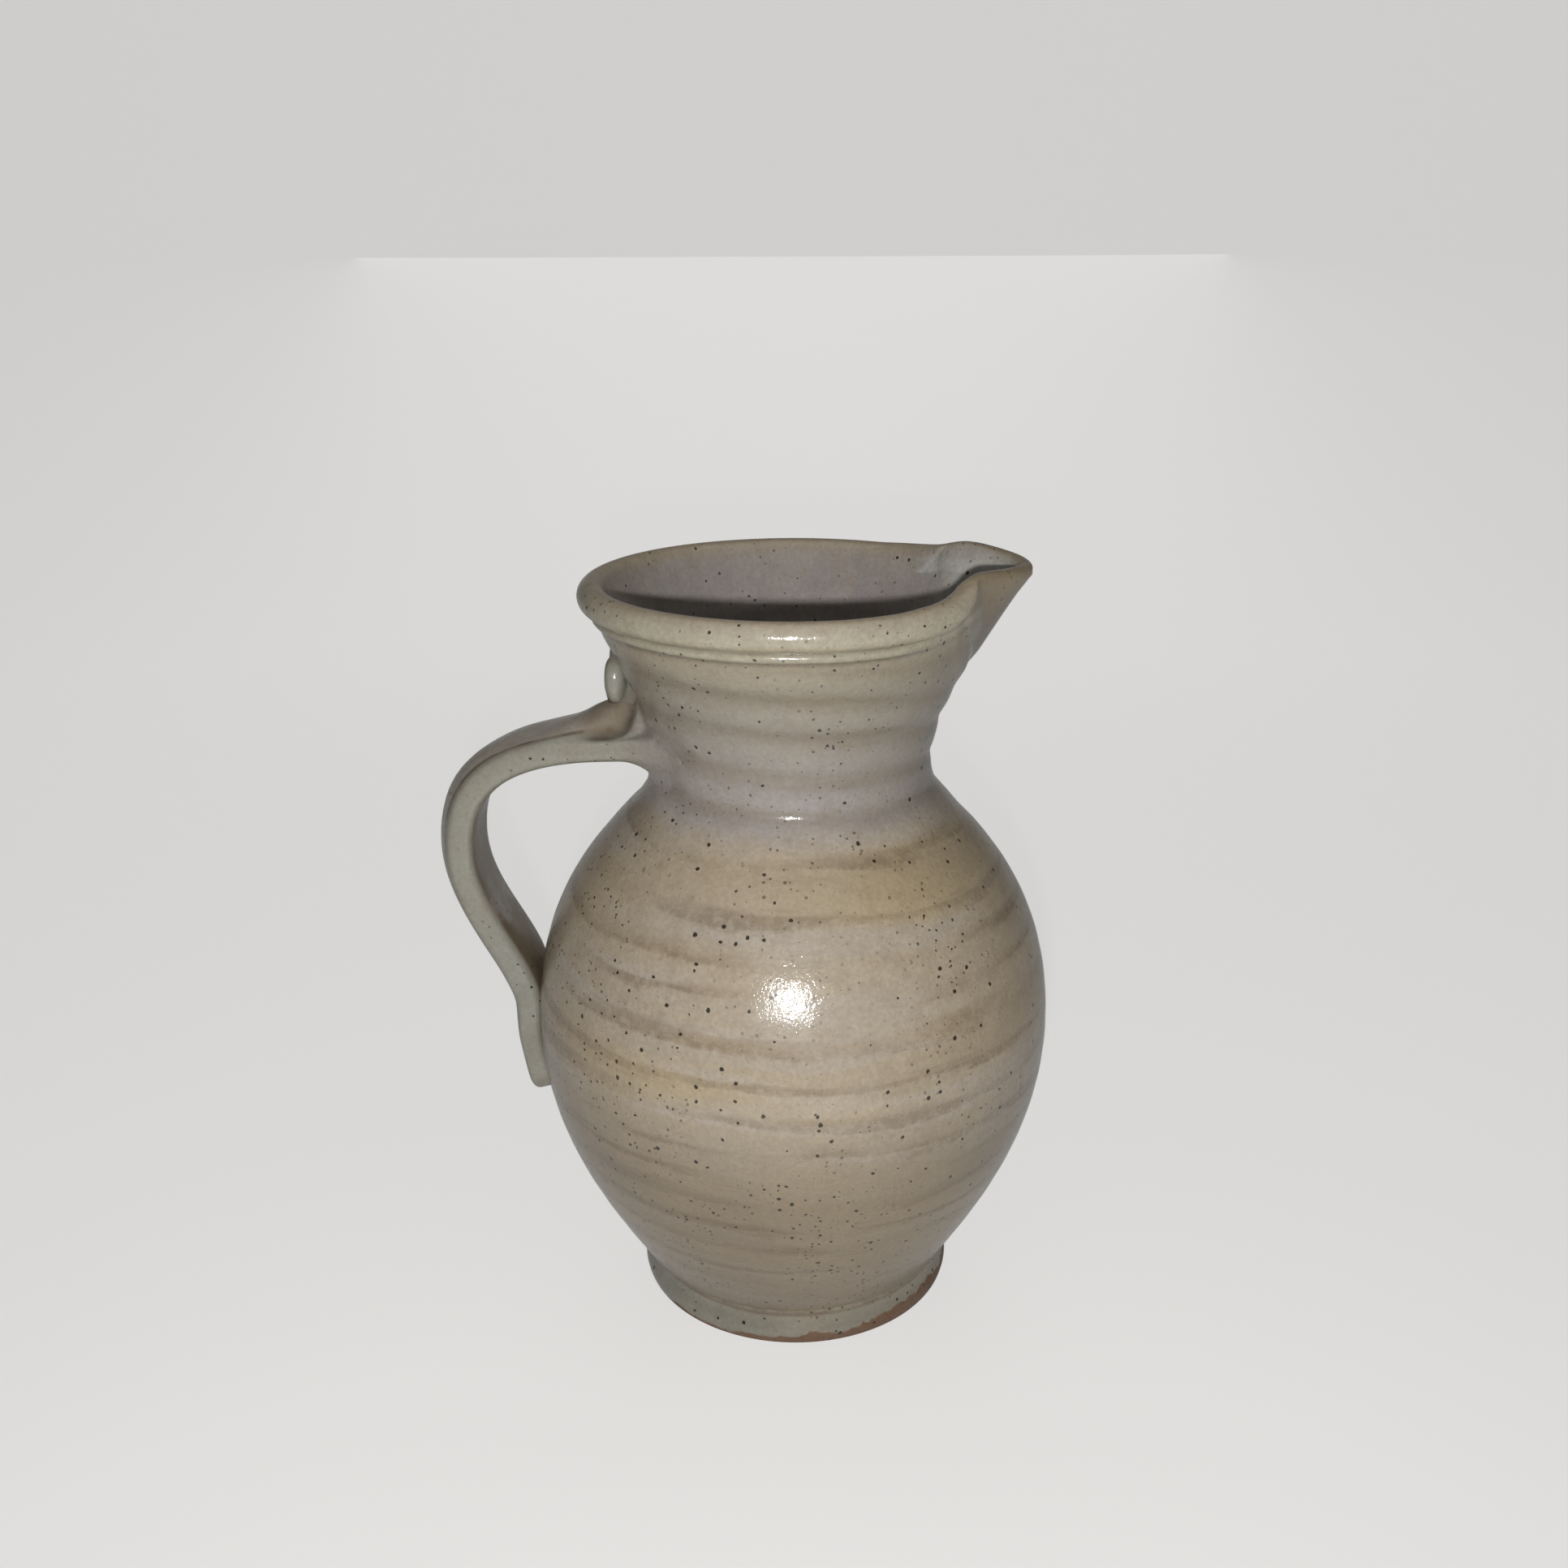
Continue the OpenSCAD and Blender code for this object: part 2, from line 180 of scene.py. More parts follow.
# Shares of the stop's half width at which a lobe begins and blends in, and at which it is pinched
LOBE_START = 0.2
LOBE_BLEND = 0.35
PINCH_PLACE = 0.36
PINCH_WIDTH = 0.1

# The camera, from the photograph's own perspective: an image 1932 pixels wide
IMAGE_WIDTH = 1932
FOCAL_PIXELS = 1935.0
SENSOR_WIDTH = 36.0
CLIP_SPAN = (0.01, 50)
CAMERA_PLACE = Vector((0.0, -468.93, 338.02)) * MM
CAMERA_PITCH = math.radians(19.385)
CAMERA_YAW = math.radians(-0.321)
CAMERA_ROLL = math.radians(-0.234)

# The stage, in metres; the key lamp's place is in the camera's own frame
FLOOR_SIZE = 8.0
FLOOR_PLACE = (0, -2.4, 0)
BACKDROP_HEIGHT = 4.0
SWEEP_RADIUS = 0.8
SWEEP_SEGMENTS = 24
PLAIN_FLOOR_SHARE = 0.7
KEY_PLACE = (-0.008, -0.03, 0.02)
KEY_SIZE = 0.014
FILL_PLACE = (0, -0.25, 1.5)
FILL_SIZE = 1.6
BACK_PLACE = (0, 1.3, 0.6)
BACK_SIZE = 1.0

# The glaze's gloss: two layers, the outer one thin and rough, over an orange-peel skin
GLAZE_IOR = 1.52
COAT_WEIGHT = 0.25
COAT_ROUGHNESS = 0.38
GLOSS_SPAN = (0.11, 0.16)
BARE_CLAY_ROUGHNESS = 0.45
SKIN_STRENGTH = 0.9
SKIN_DEPTH = 0.25 * MM
HANDLE_SPECK_SHARE = 0.25


def from_srgb(red, green, blue):
    """Turns a colour in screen bytes into the linear colour that a shader takes."""
    shares = (red / 255, green / 255, blue / 255)
    return tuple(c / 12.92 if c <= 0.04045 else ((c + 0.055) / 1.055) ** 2.4 for c in shares)


def opaque(colour):
    """Adds full alpha to a colour."""
    return (*colour, 1.0)


def colour_property(name, description, colour):
    """A colour that a user can change."""
    return bpy.props.FloatVectorProperty(
        name=name,
        description=description,
        default=from_srgb(*colour),
        subtype="COLOR",
        size=3,
        min=0,
        max=1,
    )


def length_property(name, description, millimetres):
    """A length that a user can change."""
    return bpy.props.FloatProperty(
        name=name, description=description, default=millimetres * MM, min=0, precision=5, unit="LENGTH"
    )


def power_property(name, description, watts):
    """A lamp's power that a user can change."""
    return bpy.props.FloatProperty(
        name=name, description=description, default=watts, min=0, subtype="POWER"
    )


class PitcherClay(bpy.types.PropertyGroup):
    """Sizes of the marks that the potter's hands left."""

    ring_rise: length_property("Ring rise", "Height of a throwing ring on the neck", 0.75)
    ring_belly_share: bpy.props.FloatProperty(
        name="Belly share",
        description="Share of that height on the belly",
        default=0.08,
        subtype="FACTOR",
        min=0,
        max=1,
    )
    ring_wander: length_property("Ring wander", "How far a ring wanders up and down round the pot", 1.6)
    tool_line: length_property("Tool line", "Depth of the tooled line over the foot", 0.7)
    smear_rise: length_property("Smear rise", "Height of the smoothing marks beside the beak", 0.9)
    strap_width: length_property("Strap width", "Width of the handle's strap", 28)
    strap_thickness: length_property("Strap thickness", "Thickness of the handle's strap", 9.8)
    spine_rise: length_property("Spine rise", "Rise of the spine along the strap's outer face", 3)
    tongue_crease: length_property("Tongue crease", "Depth of the crease round the root's tongue", 1.1)


class PitcherGlaze(bpy.types.PropertyGroup):
    """Colours of the glaze and of the clay under it."""

    tan: colour_property("Tan", "Glaze on the belly", (172, 160, 143))
    grey_tan: colour_property("Grey tan", "Glaze on the lower body", (137, 125, 106))
    ochre: colour_property("Ochre", "Warm patches on the shoulder and belly", (175, 159, 129))
    lavender: colour_property("Lavender grey", "Glaze on the neck and inside", (157, 151, 149))
    sage: colour_property("Sage", "Grey-green glaze on the upper neck and the foot", (147, 142, 128))
    rim_pale: colour_property("Pale rim", "Thick glaze on the roll", (171, 166, 147))
    celadon: colour_property("Celadon", "Glaze on the handle", (146, 148, 139))
    brown: colour_property("Brown", "Iron in the grooves and at the edges", (112, 95, 73))
    iron: colour_property("Iron", "Specks of iron", (27, 22, 17))
    clay: colour_property("Clay", "Bare clay at the foot", (106, 66, 20))


class PitcherStage(bpy.types.PropertyGroup):
    """Floor and light."""

    floor: colour_property("Floor", "Colour of the floor and backdrop", (236, 235, 233))
    key_power: power_property("Key power", "Power of the lamp beside the camera", 2.1)
    fill_power: power_property("Fill power", "Power of the softbox overhead", 3.5)
    back_power: power_property("Back power", "Power of the softbox behind the pot", 4.5)
    ambient: bpy.props.FloatProperty(
        name="Ambient", description="Strength of the light from all round", default=0.36, min=0
    )


def mix(a, b, share):
    """The value that lies that share of the way from a to b."""
    return a + (b - a) * share


def smooth(share):
    """Eases a share in and out between 0 and 1."""
    held = np.clip(share, 0, 1)
    return held * held * (3 - 2 * held)


def bell(distance, width):
    """A soft bump, 1 at no distance and nearly 0 past twice the width."""
    return np.exp(-((distance / width) ** 2))


def keep_sign_power(value, power):
    """Raises the size of a value to a power and keeps its sign."""
    return np.sign(value) * np.abs(value) ** power


def bezier(points, shares):
    """Places along a cubic curve of four points."""
    p = np.asarray(points, float)
    t = np.asarray(shares, float)[:, None]
    return (1 - t) ** 3 * p[0] + 3 * (1 - t) ** 2 * t * p[1] + 3 * (1 - t) * t**2 * p[2] + t**3 * p[3]


def split_stroke(points, share):
    """Cuts a curve of four points in two at a share of its length."""
    p = [np.asarray(point, float) for point in points]
    ab, bc, cd = (mix(p[i], p[i + 1], share) for i in range(3))
    abc, bcd = mix(ab, bc, share), mix(bc, cd, share)
    middle = mix(abc, bcd, share)
    return (p[0], ab, abc, middle), (middle, bcd, cd, p[3])


def bend_at_start(points):
    """Curvature of a curve of four points where it starts, positive where it turns left."""
    first, second = points[1] - points[0], points[2] - points[1]
    return 2 / 3 * (first[0] * second[1] - first[1] * second[0]) / np.linalg.norm(first) ** 3


def inner_stroke(points, distance):
    """The curve that runs beside another on its left, a wall's thickness away."""
    p = [np.asarray(point, float) for point in points]
    backwards = p[::-1]
    start_way = (p[1] - p[0]) / np.linalg.norm(p[1] - p[0])
    end_way = (p[3] - p[2]) / np.linalg.norm(p[3] - p[2])
    start = p[0] + distance * np.array((-start_way[1], start_way[0]))
    end = p[3] + distance * np.array((-end_way[1], end_way[0]))
    start_pull = (p[1] - p[0]) * (1 - distance * bend_at_start(p))
    end_pull = (p[3] - p[2]) * (1 + distance * bend_at_start(backwards))
    return start, start + start_pull, end - end_pull, end


def straight(start, end):
    """A straight stroke."""
    start, end = np.asarray(start, float), np.asarray(end, float)
    return start, mix(start, end, 1 / 3), mix(start, end, 2 / 3), end


def arc_strokes(centre, radius, first, last, pieces):
    """Strokes that follow an arc, with its angles in degrees."""
    angles = np.radians(np.linspace(first, last, pieces + 1))
    pull = radius * 4 / 3 * math.tan((angles[1] - angles[0]) / 4)
    made = []
    for a, b in zip(angles[:-1], angles[1:]):
        start = np.array(centre) + radius * np.array((math.cos(a), math.sin(a)))
        end = np.array(centre) + radius * np.array((math.cos(b), math.sin(b)))
        start_way = np.array((-math.sin(a), math.cos(a)))
        end_way = np.array((-math.sin(b), math.cos(b)))
        made.append((start, start + pull * start_way, end - pull * end_way, end))
    return made


# Pulls of the wall's three curves, from their lower and upper ends, as shares of each curve's height
WAIST_PULLS = (0.302, 0.416)
SHOULDER_PULLS = (0.659, 0.197)
NECK_PULLS = (0.248, 0.641)


def mean_curve(foot, foot_lean, head, head_lean, pulls):
    """A curve of the wall's mean line, which leans outwards by an angle at each end."""
    foot, head = np.array(foot), np.array(head)
    tall = head[1] - foot[1]
    foot_pull = pulls[0] * tall * np.array((math.sin(foot_lean), math.cos(foot_lean)))
    head_pull = pulls[1] * tall * np.array((math.sin(head_lean), math.cos(head_lean)))
    return foot, foot + foot_pull, head - head_pull, head


WAIST_CURVE = mean_curve((WAIST_R, WAIST_Z), LOWER_LEAN, (BELLY_R, BELLY_Z), 0, WAIST_PULLS)
SHOULDER_CURVE = mean_curve((BELLY_R, BELLY_Z), 0, (NECK_R, NECK_Z), 0, SHOULDER_PULLS)
NECK_CURVE = mean_curve((NECK_R, NECK_Z), 0, (FLARE_R, FLARE_Z), FLARE_LEAN, NECK_PULLS)
MEAN_CURVES = (WAIST_CURVE, SHOULDER_CURVE, NECK_CURVE)
FINE_SHARES = np.linspace(0, 1, 200)
OUTER_LINE = np.vstack([bezier(curve, FINE_SHARES) for curve in MEAN_CURVES])
INNER_LINE = np.vstack([bezier(inner_stroke(curve, WALL), FINE_SHARES) for curve in MEAN_CURVES])


def outer_radius(height):
    """Radius of the wall's outer face at a height."""
    return np.interp(height, OUTER_LINE[:, 1], OUTER_LINE[:, 0])


def inner_radius(height):
    """Radius of the wall's inner face at a height."""
    return np.interp(height, INNER_LINE[:, 1], INNER_LINE[:, 0])


def wall_strokes():
    """The thrown wall's section, from under the foot to the floor inside, with each stroke's steps."""
    strokes = [
        (straight((0, 0), (FOOT_R - FOOT_BEVEL, 0)), 7),
        (((FOOT_R - FOOT_BEVEL, 0), (FOOT_R - 0.5, 0), (FOOT_R, 0.5), (FOOT_R, FOOT_BEVEL)), 6),
        (
            (
                (FOOT_R, FOOT_BEVEL),
                (FOOT_R + FOOT_SWELL, WAIST_Z / 2),
                (WAIST_R, WAIST_Z * 0.7),
                (WAIST_R, WAIST_Z),
            ),
            16,
        ),
    ]
    tooled, rising = split_stroke(WAIST_CURVE, 0.07)
    strokes += [(tooled, 12), (rising, 62), (SHOULDER_CURVE, 78), (NECK_CURVE, 46)]
    bead = arc_strokes(BEAD_CENTRE, BEAD_R, -75, 75, 2)
    roll = arc_strokes((RIM_R, ROLL_Z), ROLL_R, ROLL_FIRST, ROLL_LAST, 4)
    strokes += [(straight((FLARE_R, FLARE_Z), bead[0][0]), 1)]
    strokes += [(stroke, 5) for stroke in bead]
    strokes += [(straight(bead[-1][3], roll[0][0]), 4)]
    strokes += [(stroke, 9) for stroke in roll]
    inner = [inner_stroke(curve, WALL) for curve in reversed(MEAN_CURVES)]
    roll_end, wall_top = roll[-1][3], inner[0][3]
    last = math.radians(ROLL_LAST)
    leave = LINK_PULL * np.array((-math.sin(last), math.cos(last)))
    arrive = LINK_PULL * np.array((math.sin(FLARE_LEAN), math.cos(FLARE_LEAN)))
    strokes += [((roll_end, roll_end + leave, wall_top + arrive, wall_top), 9)]
    standing = split_stroke(inner[2], 0.24)[1]
    corner_top = standing[0]
    corner_end = np.array((corner_top[0] - FLOOR_CORNER, FLOOR_T))
    corner = (
        corner_top,
        corner_top - np.array((2.0, 0.55 * (corner_top[1] - FLOOR_T))),
        corner_end + np.array((0.55 * FLOOR_CORNER, 0)),
        corner_end,
    )
    for stroke, steps in ((inner[0], 38), (inner[1], 40), (standing, 26)):
        strokes.append((stroke[::-1], steps))
    strokes += [(corner, 8), (straight(corner_end, (0, FLOOR_T)), 6)]
    return strokes


def clear_selection():
    """Leaves every object deselected, in object mode."""
    if bpy.context.object and bpy.context.object.mode != "OBJECT":
        bpy.ops.object.mode_set(mode="OBJECT")
    bpy.ops.object.select_all(action="DESELECT")


def choose(piece):
    """Makes one object the only selected and active one."""
    clear_selection()
    piece.select_set(True)
    bpy.context.view_layer.objects.active = piece


def draw_strokes(name, strokes, turn):
    """Draws strokes as curves in the plane at that turn round the axis, and joins them into one line."""
    clear_selection()
    bpy.ops.curve.primitive_bezier_curve_add()
    line = bpy.context.object
    line.name = name
    line.data.splines.clear()

    def place(point):
        return Vector((point[0] * math.cos(turn), point[0] * math.sin(turn), point[1])) * MM

    for stroke, steps in strokes:
        spline = line.data.splines.new("BEZIER")
        spline.bezier_points.add(1)
        spline.resolution_u = steps
        first, last = spline.bezier_points
        for end in (first, last):
            end.handle_left_type = end.handle_right_type = "FREE"
        first.co = first.handle_left = place(stroke[0])
        first.handle_right = place(stroke[1])
        last.handle_left = place(stroke[2])
        last.co = last.handle_right = place(stroke[3])
    bpy.ops.object.convert(target="MESH")
    bpy.ops.object.mode_set(mode="EDIT")
    bpy.ops.mesh.select_all(action="SELECT")
    bpy.ops.mesh.remove_doubles(threshold=LINE_MERGE)
    return bpy.context.object


def read_points(piece):
    """A mesh's points in millimetres."""
    found = np.zeros(len(piece.data.vertices) * 3)
    piece.data.vertices.foreach_get("co", found)
    return found.reshape(-1, 3) / MM


def write_points(piece, points):
    """Moves a mesh's points to places in millimetres."""
    piece.data.vertices.foreach_set("co", (np.asarray(points) * MM).astype(np.float32).ravel())
    piece.data.update()


def write_mask(piece, name, values):
    """Stores a value for each point, which the glaze reads."""
    mask = piece.data.attributes.get(name) or piece.data.attributes.new(name, "FLOAT", "POINT")
    mask.data.foreach_set("value", np.asarray(values, np.float32))


def mend_surface(piece):
    """Merges double points, turns the faces outwards and shades them smooth."""
    choose(piece)
    bpy.ops.object.mode_set(mode="EDIT")
    bpy.ops.mesh.select_all(action="SELECT")
    bpy.ops.mesh.remove_doubles(threshold=SURFACE_MERGE)
    bpy.ops.mesh.normals_make_consistent(inside=False)
    bpy.ops.object.mode_set(mode="OBJECT")
    bpy.ops.object.shade_smooth()


def finish_piece(piece, node, material):
    """Gives a piece its glaze and ties it to the frame."""
    piece.data.materials.clear()
    piece.data.materials.append(material)
    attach(piece, "root")
    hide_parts(node)


# Heights of the grooves between the throwing rings, as they pass the front of the pot
GROOVE_HEIGHTS = (
    9, 20, 30, 41, 52, 60, 70, 80, 90, 101, 110.4,
    122.4, 133.7, 142.7, 152, 166, 177, 188.5, 202, 214, 226, 238,
)
FRONT_TURN = -math.pi / 2
# Waves round the pot, each with its size, its count in a turn, its slope and its start
RING_DRIFT = ((0.55, 1, 0.031, 0.7), (0.3, 2, -0.053, 2.1), (0.15, 5, 0.11, 0))
RING_UNEVENNESS = ((0.3, 2, 0.17, 0), (0.2, 3, 0.09, 0))


def waves(height, turn, table):
    """The sum of some waves at a height and a turn."""
    return sum(size * np.sin(count * turn + slope * height + start) for size, count, slope, start in table)


def ring_phase(height, turn, wander):
    """Count of grooves passed at a height: the rings climb by one in each turn, and wander a little."""
    drift = waves(height, turn, RING_DRIFT)
    round_from_front = np.angle(np.exp(1j * (turn - FRONT_TURN)))
    counts = np.arange(len(GROOVE_HEIGHTS))
    return np.interp(height + wander * drift, GROOVE_HEIGHTS, counts) + round_from_front / (2 * math.pi)


def ring_groove(phase):
    """1 in the middle of a groove, and 0 on the broad ring between two grooves."""
    return (0.5 + 0.5 * np.cos(2 * math.pi * phase)) ** 1.6


def ring_relief(height, turn, clay):
    """How far the rings stand out, how far each place lies in a groove, and its turn in the ring."""
    phase = ring_phase(height, turn, clay.ring_wander / MM)
    held = smooth((height - WAIST_Z) / 14) * smooth((FLARE_Z + 4 - height) / 12)
    groove = ring_groove(phase)
    uneven = 1 + waves(height, turn, RING_UNEVENNESS)
    neckwards = smooth((height - SHOULDER_Z) / (NECK_Z - SHOULDER_Z))
    rise = clay.ring_rise / MM * mix(clay.ring_belly_share, 1, neckwards) * uneven
    return (0.4 - groove) * rise * held, groove * held, np.exp(2j * math.pi * phase)


# Warm patches of the glaze: degrees round from the front, height, their widths both ways, and strength
WARM_PATCHES = (
    (38, 158, 40, 13, 0.9),
    (-8, 166, 26, 6, 0.3),
    (-34, 108, 34, 9, 0.7),
    (8, 104, 26, 6, 0.6),
    (52, 112, 26, 22, 0.5),
    (-60, 150, 22, 14, 0.35),
    (128, 150, 40, 15, 0.7),
    (176, 112, 36, 10, 0.7),
    (-128, 140, 34, 12, 0.5),
    (-158, 82, 40, 10, 0.5),
)


def warm_share(height, turn):
    """How warm the glaze is at each place."""
    from_front = np.degrees(np.angle(np.exp(1j * (turn - FRONT_TURN))))
    warm = np.zeros(len(height))
    for middle, level, wide, high, strength in WARM_PATCHES:
        apart = np.angle(np.exp(1j * np.radians(from_front - middle)), deg=True)
        warm = np.maximum(warm, strength * bell(apart, wide) * bell(height - level, high))
    return warm


# Rise of the rim over its plain height, by the angle from the beak in degrees, on its two sides
LIFT_NEAR = (
    (0, 4.0), (7, 4.2), (14, 4.8), (21, 5.7), (27, 6.4), (30, 6.3),
    (33, 5.5), (37, 4.2), (41, 2.6), (46, 1.5), (60, 0.3), (75, 0),
)
LIFT_FAR = (
    (0, 4.0), (7, 4.8), (14, 5.3), (21, 5.6), (26, 5.3),
    (30, 4.3), (34, 3.0), (40, 1.8), (46, 1.1), (60, 0),
)
LIFT_STEP = 0.25
LIFT_BLUR = 2.0
LIFT_WINDOW = 8.0
# The rise starts at this height and is whole a little below the crest
LIFT_START_Z = 213.0
LIFT_SPAN = 25.0


def rim_lift(turn):
    """Rise of the rim towards the beak, eased between the measured places."""
    fine = np.arange(-90, 90 + LIFT_STEP, LIFT_STEP)
    near = np.interp(-fine, *zip(*LIFT_NEAR))
    far = np.interp(fine, *zip(*LIFT_FAR))
    rough = np.where(fine < 0, near, far)
    window = bell(np.arange(-LIFT_WINDOW, LIFT_WINDOW + LIFT_STEP, LIFT_STEP), LIFT_BLUR)
    eased = np.convolve(np.pad(rough, len(window) // 2, mode="edge"), window / window.sum(), mode="valid")
    return np.interp(np.degrees(turn), fine, eased)


def cut_half_width(height):
    """Half the width of the beak's cut at a height."""
    return TOE_HALF + (CUT_HALF - TOE_HALF) * (height - TOE_Z) / (BODY_HEIGHT - TOE_Z)


def lip_crest(around):
    """A place on the bare lip's crest, by its angle in degrees from the outer face."""
    across = keep_sign_power(np.cos(np.radians(around)), LIP_SQUARE)
    up = keep_sign_power(np.sin(np.radians(around)), LIP_SQUARE)
    return RIM_R + LIP_R * across, LIP_Z + LIP_R * up


def read_rim(radius, height):
    """Each point's angle round the roll, whether it is on the roll, and whether on the link inside it."""
    around = np.degrees(np.arctan2(height - ROLL_Z, radius - RIM_R))
    near = np.abs(np.hypot(radius - RIM_R, height - ROLL_Z) - ROLL_R) < 0.06
    on_roll = near & (around > ROLL_FIRST - 1) & (around < ROLL_LAST + 0.5)
    on_link = (radius < RIM_R - LIP_R) & (height > INNER_LINE[-1, 1] + 0.01) & ~on_roll
    return around, on_roll, on_link


def bare_lip(radius, height):
    """Where each point of the rim goes when only the thin lip is left, and how far up the lip it is."""
    around, on_roll, on_link = read_rim(radius, height)
    face_z = np.where(on_roll, mix(ROLL_FOOT_Z, LIP_Z, np.clip(1 - around / ROLL_FIRST, 0, 1)), height)
    face_r = mix(FLARE_R, RIM_R + LIP_R, (face_z - FLARE_Z) / (LIP_Z - FLARE_Z))
    crest_r, crest_z = lip_crest(np.clip(around / ROLL_LAST, 0, 1) * CREST_LAST)
    over = on_roll & (around > 0)
    link_r, link_z = lip_crest(CREST_LAST)
    wall_r, wall_z = INNER_LINE[-1]
    link_top = ROLL_Z + ROLL_R * math.sin(math.radians(ROLL_LAST))
    down = np.clip((link_top - height) / (link_top - wall_z), 0, 1)
    new_r = np.where(on_link, mix(link_r, wall_r, down), np.where(over, crest_r, face_r))
    new_z = np.where(on_link, mix(link_z, wall_z, down), np.where(over, crest_z, face_z))
    return new_r, new_z, np.clip((new_z - FLARE_Z) / (BODY_HEIGHT - FLARE_Z), 0, 1)


def keel_share(across):
    """1 on the beak's keel, and 0 at the sides of its cut."""

    def bend(q):
        return np.sqrt(q * q + KEEL_ROUND**2) - KEEL_ROUND

    share = 1 - bend(across) / bend(1.0)
    return share**2 * (1 + SEAM_EASE) / (share + SEAM_EASE)


def rim_fullness(off_beak, up_lip):
    """How much of the roll and the bead is left, by the degrees from the beak and the share up the lip."""
    run_out = np.clip((ROLL_END - ROLL_END_LEAN * up_lip - off_beak) / ROLL_RUN_OUT, 0, 1)
    bead_left = smooth((off_beak - BEAD_END) / BEAD_FADE)
    return mix(bead_left, np.sqrt(1 - run_out**2), smooth((up_lip - 0.2) / 0.15))


def pull_beak(x, y, radius, height, inside):
    """Pulls the wall out to the beak's keel, within its cut."""
    half = np.maximum(cut_half_width(height), LEAST_HALF)
    across = np.abs(y) / half
    in_cut = (height > TOE_Z) & (x > BEAK_SIDE_X) & (across < 1)
    up_beak = np.clip((height - TOE_Z) / (LIP_Z - TOE_Z), 0, 1)
    up_keel = np.minimum(up_beak / TIP_FACE, 1)
    up_keel = mix(up_beak, up_keel, smooth(up_beak / 0.5))
    outwards = np.where(inside, 0, np.where(height > LIP_Z, (radius - RIM_R + LIP_R) / LIP_T, 1.0))
    keel_out = mix(outer_radius(TOE_Z) + TOE_PROUD * smooth(up_beak / 0.3), BEAK_REACH, up_keel)
    keel_out = keel_out - KEEL_SAG * np.sin(math.pi * up_keel)
    keel_in = mix(inner_radius(TOE_Z), BEAK_REACH - LIP_T * KEEL_THICK, up_beak)
    keel = mix(keel_in, keel_out, np.clip(outwards, 0, 1))
    side = np.sqrt(np.maximum(radius**2 - half**2, 0))
    pulled = mix(side, keel, keel_share(np.minimum(across, 1)))
    return np.where(in_cut, pulled, x)


def seam_distance(y, height):
    """Distance from the beak's seam, negative on the beak."""
    half = np.maximum(cut_half_width(height), LEAST_HALF)
    tall, wide = BODY_HEIGHT - TOE_Z, CUT_HALF - TOE_HALF
    return (np.abs(y) - half) * tall / math.hypot(tall, wide)


def smoothing_marks(y, height, from_seam):
    """Height of the smoothing marks beside the seam, as a share of the highest."""
    drag = SMEAR_SWAY * np.sin(0.32 * height + 1.3 * np.sign(y))
    return sum(
        strength * bell(from_seam - middle - sway * drag, width) for strength, middle, width, sway in SMEARS
    )


def shape_wall(piece, clay):
    """Lays throwing rings on the turned wall, thins the rim towards the beak and pulls the beak out."""
    points = read_points(piece)
    radius = np.hypot(points[:, 0], points[:, 1])
    turn = np.arctan2(points[:, 1], points[:, 0])
    clay_height = points[:, 2].copy()
    wall_middle = (outer_radius(clay_height) + inner_radius(clay_height)) / 2
    around, on_roll, on_link = read_rim(radius, clay_height)
    inside = (radius < wall_middle) & (clay_height > FLOOR_T - 0.5) & ~on_roll

    relief, groove, ring_turn = ring_relief(clay_height, turn, clay)
    standing = (radius > 36) & (clay_height > WAIST_Z) & ~on_roll & ~on_link
    tooled = clay.tool_line / MM * bell(clay_height - TOOL_LINE_Z, TOOL_LINE_WIDTH)
    thin_r, thin_z, up_lip = bare_lip(radius, clay_height)
    radius = radius + np.where(standing, relief, 0) - np.where(inside, 0, tooled)

    rim = (clay_height >= FLARE_Z - 0.01) & (~inside | on_link)
    fullness = np.where(rim, rim_fullness(np.degrees(np.abs(turn)), up_lip), 1.0)
    radius = np.where(rim, mix(thin_r, radius, fullness), radius)
    height = np.where(rim, mix(thin_z, clay_height, fullness), clay_height)

    x = radius * np.cos(turn) + FOOT_SHIFT * smooth((FOOT_SHIFT_Z - height) / 8)
    y = radius * np.sin(turn)
    x = pull_beak(x, y, radius, height, inside)

    from_seam = seam_distance(y, height)
    near_seam = ~inside & (x > BEAK_SIDE_X) & (height > TOE_Z - 4) & (height < BODY_HEIGHT)
    along_seam = smooth((height - TOE_Z + 2) / 5) * smooth((LIP_Z + 1 - height) / 7) * near_seam
    push = clay.smear_rise / MM * smoothing_marks(y, height, from_seam) * along_seam
    x = x + push * np.cos(turn)
    y = y + push * np.sin(turn)
    beakwards = smooth(0.5 - from_seam / np.where(inside, 30, 13)) * smooth((height - TOE_Z + 8) / 12)
    thinned = np.where(up_lip > 0.3, 1 - fullness, 0)

    write_points(piece, np.column_stack((x, y, height)))
    masks = {
        "lift": rim_lift(turn) * smooth((clay_height - LIFT_START_Z) / LIFT_SPAN),
        "clay_height": clay_height * MM,
        "inside": np.where(on_roll, smooth((around - 85) / 65), inside),
        "groove": groove,
        "ring_sine": ring_turn.imag,
        "ring_cosine": ring_turn.real,
        "warm": warm_share(clay_height, turn),
        "seam": bell(from_seam - 0.4, 1.5) * along_seam,
        "beakwards": np.maximum(np.where(x > BEAK_SIDE_X, beakwards, 0), thinned),
    }
    for name, values in masks.items():
        write_mask(piece, name, values)


BEAK_SIDES = (1, -1)


